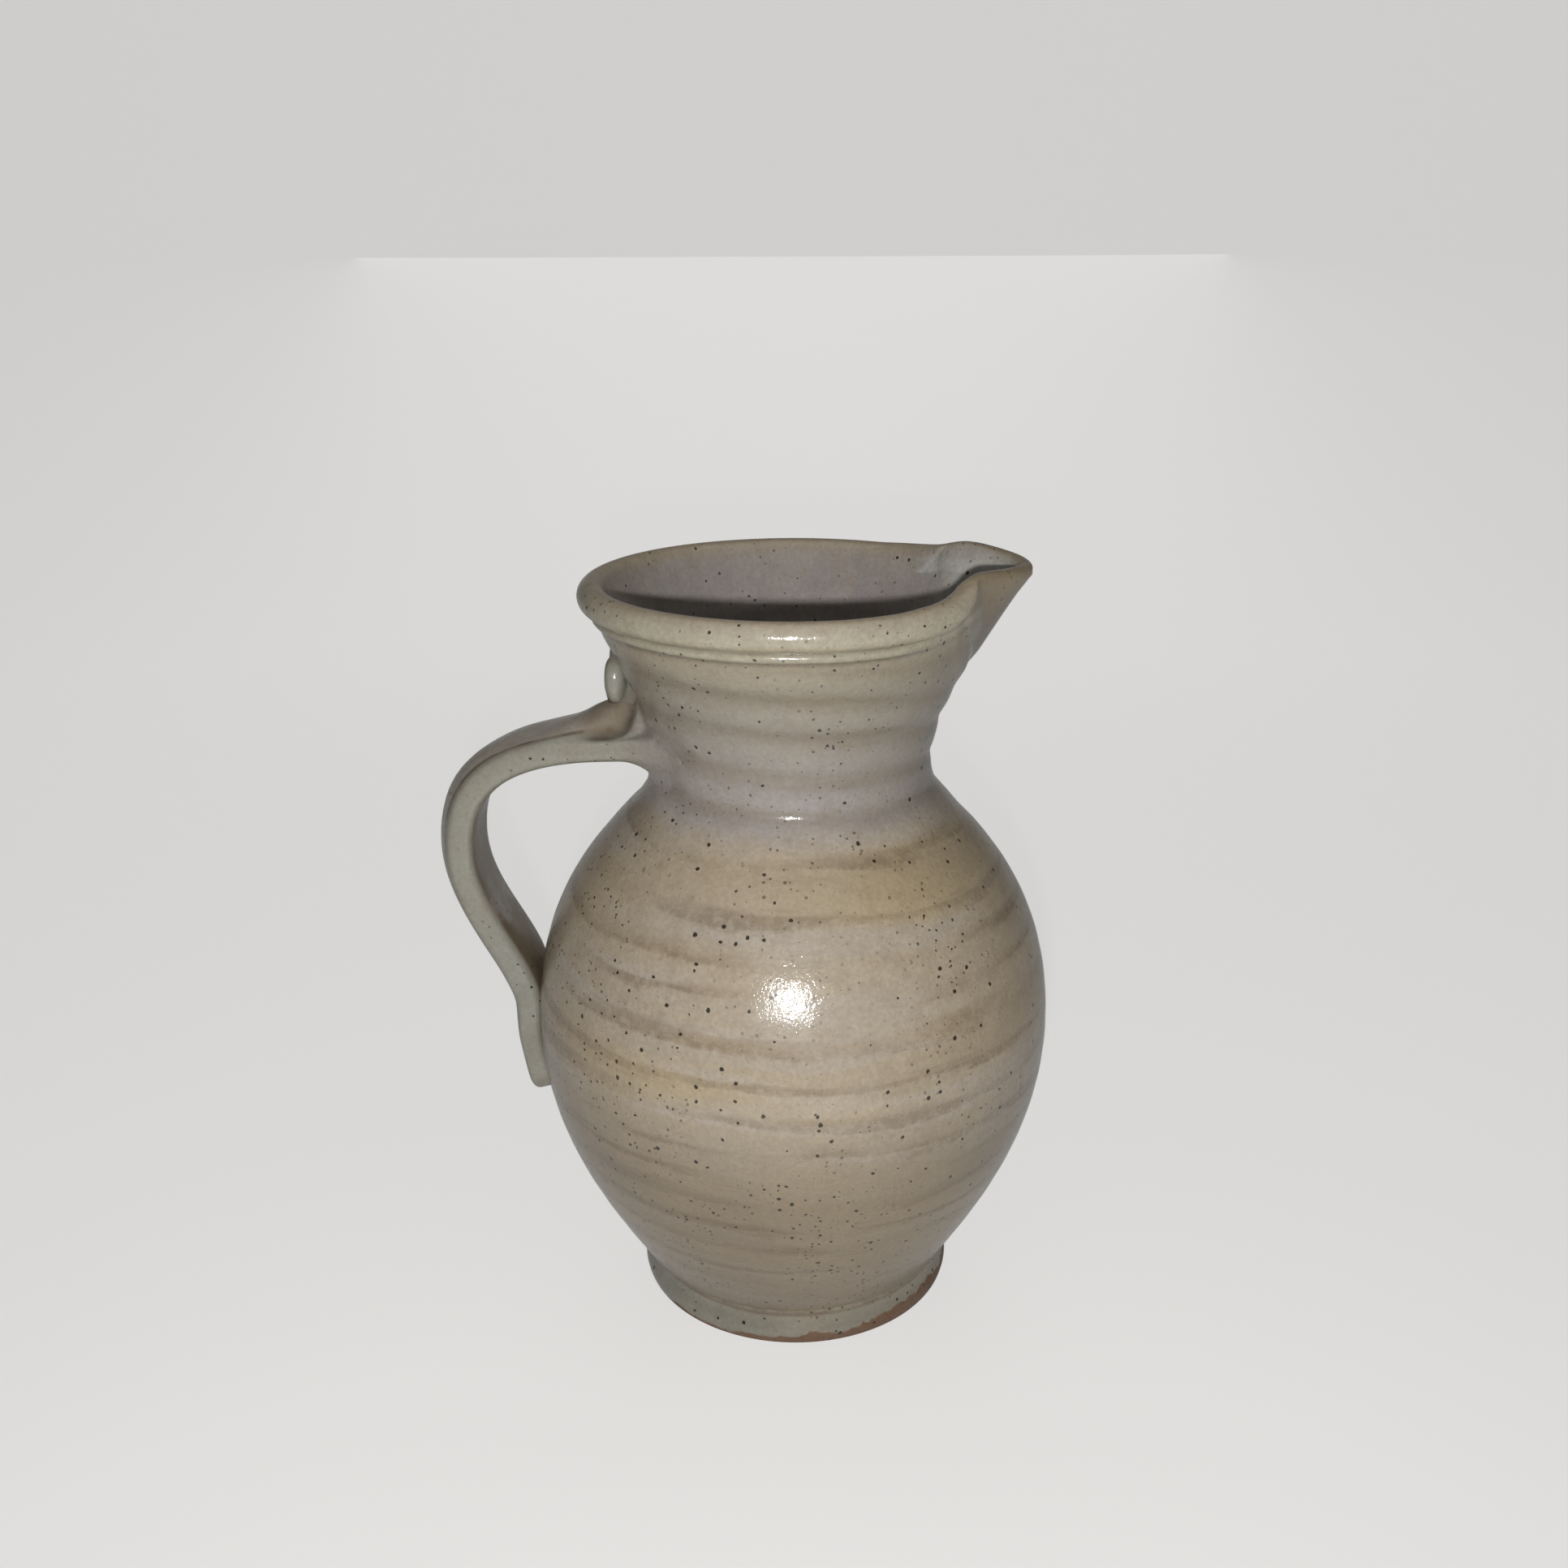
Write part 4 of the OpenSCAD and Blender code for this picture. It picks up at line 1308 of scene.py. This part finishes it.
def finish_glaze(tree, shader, place, cloud, colour, glaze, roughness, speck_share):
    """Lays grain and iron specks over a glaze's colour, and gives it its skin and gloss."""
    specks = group_node(tree, iron_specks(), {"Place": place, "Share": speck_share})
    colour = lay_over(
        tree,
        colour,
        (ease(tree, cloud.outputs["Grain"], 0.3, 0.7, 0.0, 0.24), lighter(glaze.brown, -0.1)),
        (times(tree, cloud.outputs["Mottle"], 0.16), lighter(glaze.brown, 0.05)),
        (times(tree, specks.outputs["Spots"], 0.22), glaze.brown),
        (times(tree, specks.outputs["Freckles"], 0.6), lighter(glaze.brown, -0.35)),
        (times(tree, specks.outputs["Specks"], 0.93), glaze.iron),
    )
    skin = group_node(tree, glaze_skin(), {"Place": place}).outputs["Height"]
    bump_inputs = {"Height": skin, "Strength": SKIN_STRENGTH, "Distance": SKIN_DEPTH}
    bump = add_node(tree, "ShaderNodeBump", bump_inputs)
    tree.links.new(colour, shader.inputs["Base Color"])
    tree.links.new(roughness, shader.inputs["Roughness"])
    tree.links.new(bump.outputs["Normal"], shader.inputs["Normal"])


def lighter(colour, share):
    """A colour moved towards white, or towards black by a negative share."""
    target = 1.0 if share > 0 else 0.0
    return tuple(mix(c, target, abs(share)) for c in colour)


def between(first, second, share=0.5):
    """A colour between two."""
    return tuple(mix(a, b, share) for a, b in zip(first, second))


def outside_colour(tree, place, cloud, height, marks, glaze):
    """Colour of the wall's outer face: banded by height, and streaked along the rings."""
    rings = {"Ring Sine": marks["ring_sine"], "Ring Cosine": marks["ring_cosine"]}
    streak = group_node(tree, throwing_streaks(), {"Place": place, **rings})
    runs = cloud.outputs["Runs"]
    held = ease(tree, height, 0.216, 0.226, 1.0, 0.15)
    sag = times(tree, maths(tree, "SUBTRACT", runs, 0.5), 0.0025, held)
    flange = between(glaze.sage, glaze.celadon, 0.7)
    groove_brown = between(glaze.sage, glaze.brown, 0.3)
    bands = [
        (0, lighter(flange, -0.16)),
        (7, lighter(flange, -0.14)),
        (10.5, between(flange, glaze.grey_tan, 0.6)),
        (12.3, lighter(glaze.brown, -0.08)),
        (13.6, lighter(glaze.grey_tan, -0.12)),
        (30, between(glaze.grey_tan, glaze.brown, 0.2)),
        (70, lighter(glaze.grey_tan, -0.05)),
        (96, between(glaze.grey_tan, glaze.tan, 0.65)),
        (124, glaze.tan),
        (150, between(glaze.tan, glaze.ochre, 0.12)),
        (166, between(glaze.tan, glaze.ochre, 0.35)),
        (172, between(glaze.tan, glaze.lavender, 0.4)),
        (176, glaze.lavender),
        (190, between(glaze.lavender, glaze.sage, 0.3)),
        (204, between(glaze.lavender, glaze.sage, 0.6)),
        (218, lighter(glaze.sage, -0.02)),
        (226.4, between(glaze.ochre, glaze.sage, 0.6)),
        (228.2, between(glaze.sage, glaze.brown, 0.25)),
        (229.2, glaze.rim_pale),
        (230.4, glaze.rim_pale),
        (231.4, groove_brown),
        (233.0, between(glaze.ochre, glaze.rim_pale, 0.7)),
        (235.5, glaze.rim_pale),
        (238.4, between(glaze.rim_pale, glaze.tan, 0.6)),
        (240, between(glaze.tan, glaze.ochre, 0.6)),
    ]
    colour = height_colours(tree, maths(tree, "ADD", height, sag), bands)
    below_neck = ease(tree, height, 0.176, 0.164)
    on_neck = times(tree, ease(tree, height, 0.168, 0.18), ease(tree, height, 0.229, 0.226))
    under_rim = ease(tree, height, 0.231, 0.227)
    warm = maths(tree, "ADD", marks["warm"], times(tree, cloud.outputs["Cloud"], 0.2))
    pale_share = times(tree, ease(tree, height, 0.05, 0.11, 0.12, 0.42), below_neck)
    dark_share = times(
        tree,
        ease(tree, height, 0.18, 0.165, 0.15, 0.56),
        under_rim,
        ease(tree, height, 0.05, 0.1, 1.3, 1.0),
        ease(tree, height, 0.007, 0.014, 0.2, 1.0),
    )
    pale = lighter(between(glaze.lavender, glaze.tan, 0.35), 0.1)
    return lay_over(
        tree,
        colour,
        (times(tree, warm, below_neck, clamp=True), glaze.ochre),
        (times(tree, streak.outputs["Pale"], pale_share), pale),
        (times(tree, streak.outputs["Band"], below_neck, 0.3), between(glaze.ochre, glaze.brown)),
        (times(tree, runs, on_neck, 0.26), between(glaze.tan, glaze.sage, 0.6)),
        (times(tree, marks["groove"], on_neck, 0.46), between(glaze.sage, glaze.brown, 0.6)),
        (times(tree, streak.outputs["Dark"], dark_share), glaze.brown),
    )


def wall_glaze(name, glaze):
    """The wall's glaze, outside and in: thin and tan-brown on the beak, with bare clay at the foot."""
    material, tree, shader, place, cloud = glaze_base(name)
    height = mask_of(tree, "clay_height")
    inside = mask_of(tree, "inside")
    beakwards = mask_of(tree, "beakwards")
    runs = cloud.outputs["Runs"]
    marks = {mask: mask_of(tree, mask) for mask in ("groove", "ring_sine", "ring_cosine", "warm")}
    outside = outside_colour(tree, place, cloud, height, marks, glaze)
    beak_bands = [
        (200, between(glaze.lavender, glaze.tan)),
        (212, lighter(glaze.brown, -0.06)),
        (224, lighter(glaze.brown, -0.06)),
        (233, between(glaze.ochre, glaze.brown, 0.4)),
        (238.5, between(glaze.ochre, glaze.brown, 0.2)),
        (240, between(glaze.ochre, glaze.brown, 0.35)),
    ]
    beak = height_colours(tree, height, beak_bands)
    beak = lay_over(tree, beak, (times(tree, runs, 0.35), glaze.grey_tan))
    outside = blend_colour(tree, beakwards, outside, beak)

    # Inside colours by height: darker down into the pot as painted shade, tan towards the rim
    within_shaded_bands = [
        (0, lighter(glaze.lavender, -0.36)),
        (150, lighter(glaze.lavender, -0.32)),
        (226, lighter(glaze.lavender, -0.13)),
        (235.5, between(lighter(glaze.lavender, -0.16), glaze.tan, 0.25)),
        (238.4, between(glaze.tan, glaze.brown, 0.2)),
        (240, between(glaze.tan, glaze.ochre, 0.6)),
    ]
    within = height_colours(tree, height, within_shaded_bands)
    channel_bands = [
        (200, lighter(glaze.lavender, -0.1)),
        (222, lighter(between(glaze.lavender, glaze.sage, 0.5), 0.27)),
        (234, lighter(between(glaze.sage, glaze.celadon, 0.4), 0.36)),
        (239, between(glaze.celadon, glaze.tan, 0.6)),
        (240, between(glaze.ochre, glaze.brown, 0.4)),
    ]
    channel = height_colours(tree, height, channel_bands)
    within = blend_colour(tree, beakwards, within, channel)
    within = lay_over(tree, within, (times(tree, runs, 0.28), glaze.tan))
    colour = blend_colour(tree, inside, outside, within)
    seam = times(tree, mask_of(tree, "seam"), ease(tree, runs, 0.2, 0.8, 0.05, 0.3))
    colour = lay_over(tree, colour, (seam, glaze.brown))

    drawn_out = stretched(tree, place, (70.0, 70.0, 20.0))
    ragged = times(tree, noise(tree, drawn_out, 1.0, 4.0, 0.65), 0.0085)
    beakside = add_node(tree, "ShaderNodeSeparateXYZ", {"Vector": place}).outputs["X"]
    edge = maths(tree, "ADD", ragged, times(tree, beakside, 0.055))
    bare = ease(tree, maths(tree, "SUBTRACT", height, edge), -0.0008, -0.0013)
    bare = times(tree, bare, maths(tree, "SUBTRACT", 1.0, inside))
    dark_clay, pale_clay = opaque(lighter(glaze.clay, -0.25)), opaque(lighter(glaze.clay, 0.08))
    clay = blend_colour(tree, cloud.outputs["Grain"], dark_clay, pale_clay)
    colour = blend_colour(tree, bare, colour, clay)
    gloss = ease(tree, cloud.outputs["Cloud"], 0.0, 1.0, *GLOSS_SPAN)
    gloss = maths(tree, "ADD", gloss, times(tree, bare, BARE_CLAY_ROUGHNESS))
    speckled_below = ease(tree, height, 0.185, 0.165, 0.65, 1.0)
    speckled = times(tree, speckled_below, ease(tree, inside, 0.2, 0.8, 1.0, 0.6))
    finish_glaze(tree, shader, place, cloud, colour, glaze, gloss, speckled)
    return material


def handle_glaze(glaze):
    """The handle's glaze: celadon on its sides, tan on the outer face, brown where it breaks at edges."""
    name = "celadon_glaze"
    if name in bpy.data.materials:
        return bpy.data.materials[name]
    material, tree, shader, place, cloud = glaze_base(name)
    run = mask_of(tree, "run")
    runs = cloud.outputs["Runs"]
    greener = between(glaze.celadon, glaze.sage)
    colour = blend_colour(tree, cloud.outputs["Cloud"], opaque(glaze.celadon), opaque(greener))
    face = lighter(between(glaze.tan, glaze.brown, 0.05), 0.16)
    top = times(tree, mask_of(tree, "outer_face"), ease(tree, run, 0.75, 0.5, 0.3, 0.9))
    colour = lay_over(tree, colour, (top, face))

    dusk = lighter(between(glaze.brown, glaze.lavender, 0.35), -0.25)
    olive = lighter(between(glaze.brown, glaze.ochre, 0.25), -0.45)
    low = shifted(tree, run, cloud.outputs["Mottle"], 0.03)
    inner = blend_colour(tree, ease(tree, low, 0.61, 0.66), opaque(dusk), opaque(olive))
    smeared = times(tree, ease(tree, low, 0.55, 0.6), ease(tree, low, 0.65, 0.61))
    smear = times(tree, smeared, ease(tree, runs, 0.3, 0.8, 0.35, 0.85))
    inner = lay_over(tree, inner, (smear, between(glaze.lavender, glaze.celadon, 0.4)))
    under = times(tree, mask_of(tree, "inner_face"), ease(tree, run, 0.3, 0.55, 0.25, 0.95))
    colour = blend_colour(tree, under, colour, inner)

    broken = noise(tree, place, 130.0, 2.0)
    corner = times(tree, mask_of(tree, "corner"), ease(tree, broken, 0.38, 0.6, 0.35, 0.95))
    colour = lay_over(
        tree,
        colour,
        (times(tree, mask_of(tree, "tongue"), 0.85), between(glaze.grey_tan, glaze.brown, 0.15)),
        (times(tree, runs, 0.2), glaze.grey_tan),
        (corner, lighter(glaze.brown, -0.3)),
    )
    height = add_node(tree, "ShaderNodeSeparateXYZ", {"Vector": place}).outputs["Z"]
    plain = {"groove": 0.0, "ring_sine": 0.0, "ring_cosine": -1.0, "warm": 0.0}
    neck = outside_colour(tree, place, cloud, height, plain, glaze)
    colour = blend_colour(tree, mask_of(tree, "near_neck"), colour, neck)
    # Painted shade: the tongue's crease and the stop's saddle are darkened to nearly black brown
    crease = times(tree, mask_of(tree, "crease_shade"), ease(tree, broken, 0.36, 0.6, 0.75, 1.0))
    colour = lay_over(tree, colour, (crease, lighter(glaze.brown, -0.72)))
    gloss = ease(tree, cloud.outputs["Cloud"], 0.0, 1.0, *GLOSS_SPAN)
    finish_glaze(tree, shader, place, cloud, colour, glaze, gloss, HANDLE_SPECK_SHARE)
    return material


def camera_matrix():
    """The camera's place and turn."""
    ahead = Vector(
        (
            math.sin(CAMERA_YAW) * math.cos(CAMERA_PITCH),
            math.cos(CAMERA_YAW) * math.cos(CAMERA_PITCH),
            -math.sin(CAMERA_PITCH),
        )
    )
    right = ahead.cross(Vector((0, 0, 1))).normalized()
    up = right.cross(ahead)
    rolled_right = math.cos(CAMERA_ROLL) * right + math.sin(CAMERA_ROLL) * up
    rolled_up = math.cos(CAMERA_ROLL) * up - math.sin(CAMERA_ROLL) * right
    turned = Matrix((rolled_right, rolled_up, -ahead)).transposed().to_4x4()
    return Matrix.Translation(CAMERA_PLACE) @ turned


def add_softbox(name, shape, size, watts):
    """An area lamp, still at the origin."""
    bpy.ops.object.light_add(type="AREA")
    lamp = bpy.context.object
    lamp.name = name
    lamp.data.shape = shape
    lamp.data.size = size
    lamp.data.energy = watts
    return lamp


class PITCHER_OT_set_stage(bpy.types.Operator):
    """Lays the floor and backdrop, sets the lamps and places the camera"""

    bl_idname = "pitcher.set_stage"
    bl_label = "Set Stage"

    def execute(self, context):
        settings = context.scene.pitcher_stage
        self.lay_floor(settings)
        self.set_lamps(context, settings)
        self.place_camera(context)
        return {"FINISHED"}

    def lay_floor(self, settings):
        """A floor that sweeps up into a backdrop."""
        clear_selection()
        bpy.ops.mesh.primitive_plane_add(size=FLOOR_SIZE, location=FLOOR_PLACE)
        floor = bpy.context.object
        floor.name = "floor_sweep"
        bpy.ops.object.mode_set(mode="EDIT")
        bpy.ops.mesh.select_mode(type="EDGE")
        mesh = bmesh.from_edit_mesh(floor.data)
        for edge in mesh.edges:
            edge.select_set(all(vert.co.y > 0 for vert in edge.verts))
        bmesh.update_edit_mesh(floor.data)
        bpy.ops.mesh.extrude_region_move(TRANSFORM_OT_translate={"value": (0, 0, BACKDROP_HEIGHT)})
        bpy.ops.mesh.select_all(action="DESELECT")
        mesh = bmesh.from_edit_mesh(floor.data)
        for edge in mesh.edges:
            edge.select_set(len(edge.link_faces) == 2)
        bmesh.update_edit_mesh(floor.data)
        bpy.ops.mesh.bevel(offset=SWEEP_RADIUS, segments=SWEEP_SEGMENTS)
        bpy.ops.object.mode_set(mode="OBJECT")
        bpy.ops.object.shade_smooth()
        bpy.ops.object.transform_apply(location=True, rotation=True, scale=True)
        material = bpy.data.materials.new("pale_floor")
        material.use_nodes = True
        shader = material.node_tree.nodes["Principled BSDF"]
        shader.inputs["Base Color"].default_value = opaque(settings.floor)
        shader.inputs["Roughness"].default_value = 0.8
        shader.inputs["Specular IOR Level"].default_value = 0.2
        tree = material.node_tree
        plain = add_node(tree, "ShaderNodeEmission", {"Color": opaque(settings.floor), "Strength": 1.0})
        seen = add_node(tree, "ShaderNodeLightPath").outputs["Is Camera Ray"]
        share = times(tree, seen, PLAIN_FLOOR_SHARE)
        both = add_node(tree, "ShaderNodeMixShader", {0: share, 1: shader.outputs[0], 2: plain.outputs[0]})
        tree.links.new(both.outputs[0], tree.nodes["Material Output"].inputs["Surface"])
        floor.data.materials.append(material)

    def set_lamps(self, context, settings):
        """A small softbox beside the camera, broad ones overhead and behind, and light from all round."""
        key = add_softbox("key_lamp", "DISK", KEY_SIZE, settings.key_power)
        key.matrix_world = camera_matrix() @ Matrix.Translation(KEY_PLACE)
        fill = add_softbox("overhead_softbox", "SQUARE", FILL_SIZE, settings.fill_power)
        fill.location = FILL_PLACE
        back = add_softbox("back_softbox", "SQUARE", BACK_SIZE, settings.back_power)
        back.location = BACK_PLACE
        back.rotation_euler = (-back.location).to_track_quat("-Z", "Y").to_euler()
        back.visible_glossy = False
        world = context.scene.world or bpy.data.worlds.new("studio")
        context.scene.world = world
        world.use_nodes = True
        background = world.node_tree.nodes["Background"]
        background.inputs["Color"].default_value = (1, 1, 1, 1)
        background.inputs["Strength"].default_value = settings.ambient

    def place_camera(self, context):
        """The camera at the photograph's viewing angle."""
        bpy.ops.object.camera_add()
        camera = bpy.context.object
        camera.name = "photo_camera"
        camera.data.sensor_width = SENSOR_WIDTH
        camera.data.lens = SENSOR_WIDTH * FOCAL_PIXELS / IMAGE_WIDTH
        camera.data.clip_start, camera.data.clip_end = CLIP_SPAN
        camera.matrix_world = camera_matrix()
        context.scene.camera = camera
        context.scene.view_settings.view_transform = "Standard"


class PITCHER_PT_panel(bpy.types.Panel):
    """Lists the pitcher's steps and settings"""

    bl_idname = "PITCHER_PT_panel"
    bl_label = "Stoneware Pitcher"
    bl_space_type = "VIEW_3D"
    bl_region_type = "UI"
    bl_category = "Pitcher"

    def draw(self, context):
        column = self.layout.column(align=True)
        for step in STEPS:
            column.operator(step.bl_idname)
        scene = context.scene
        for settings in (scene.pitcher_clay, scene.pitcher_glaze, scene.pitcher_stage):
            box = self.layout.box()
            for name in settings.bl_rna.properties.keys():
                if name not in ("rna_type", "name"):
                    box.prop(settings, name)


STEPS = (PITCHER_OT_throw_body, PITCHER_OT_pull_handle, PITCHER_OT_press_stop, PITCHER_OT_set_stage)
CLASSES = (PitcherClay, PitcherGlaze, PitcherStage, *STEPS, PITCHER_PT_panel)


def register():
    """Registers the classes and hangs the settings on the scene."""
    for made in CLASSES:
        bpy.utils.register_class(made)
    bpy.types.Scene.pitcher_clay = bpy.props.PointerProperty(type=PitcherClay)
    bpy.types.Scene.pitcher_glaze = bpy.props.PointerProperty(type=PitcherGlaze)
    bpy.types.Scene.pitcher_stage = bpy.props.PointerProperty(type=PitcherStage)


def unregister():
    """Takes the settings and the classes away again."""
    del bpy.types.Scene.pitcher_stage
    del bpy.types.Scene.pitcher_glaze
    del bpy.types.Scene.pitcher_clay
    for made in reversed(CLASSES):
        bpy.utils.unregister_class(made)


def main():
    register()
    bpy.ops.pitcher.throw_body()
    bpy.ops.pitcher.pull_handle()
    bpy.ops.pitcher.press_stop()
    bpy.ops.pitcher.set_stage()


if __name__ == "__main__":
    main()
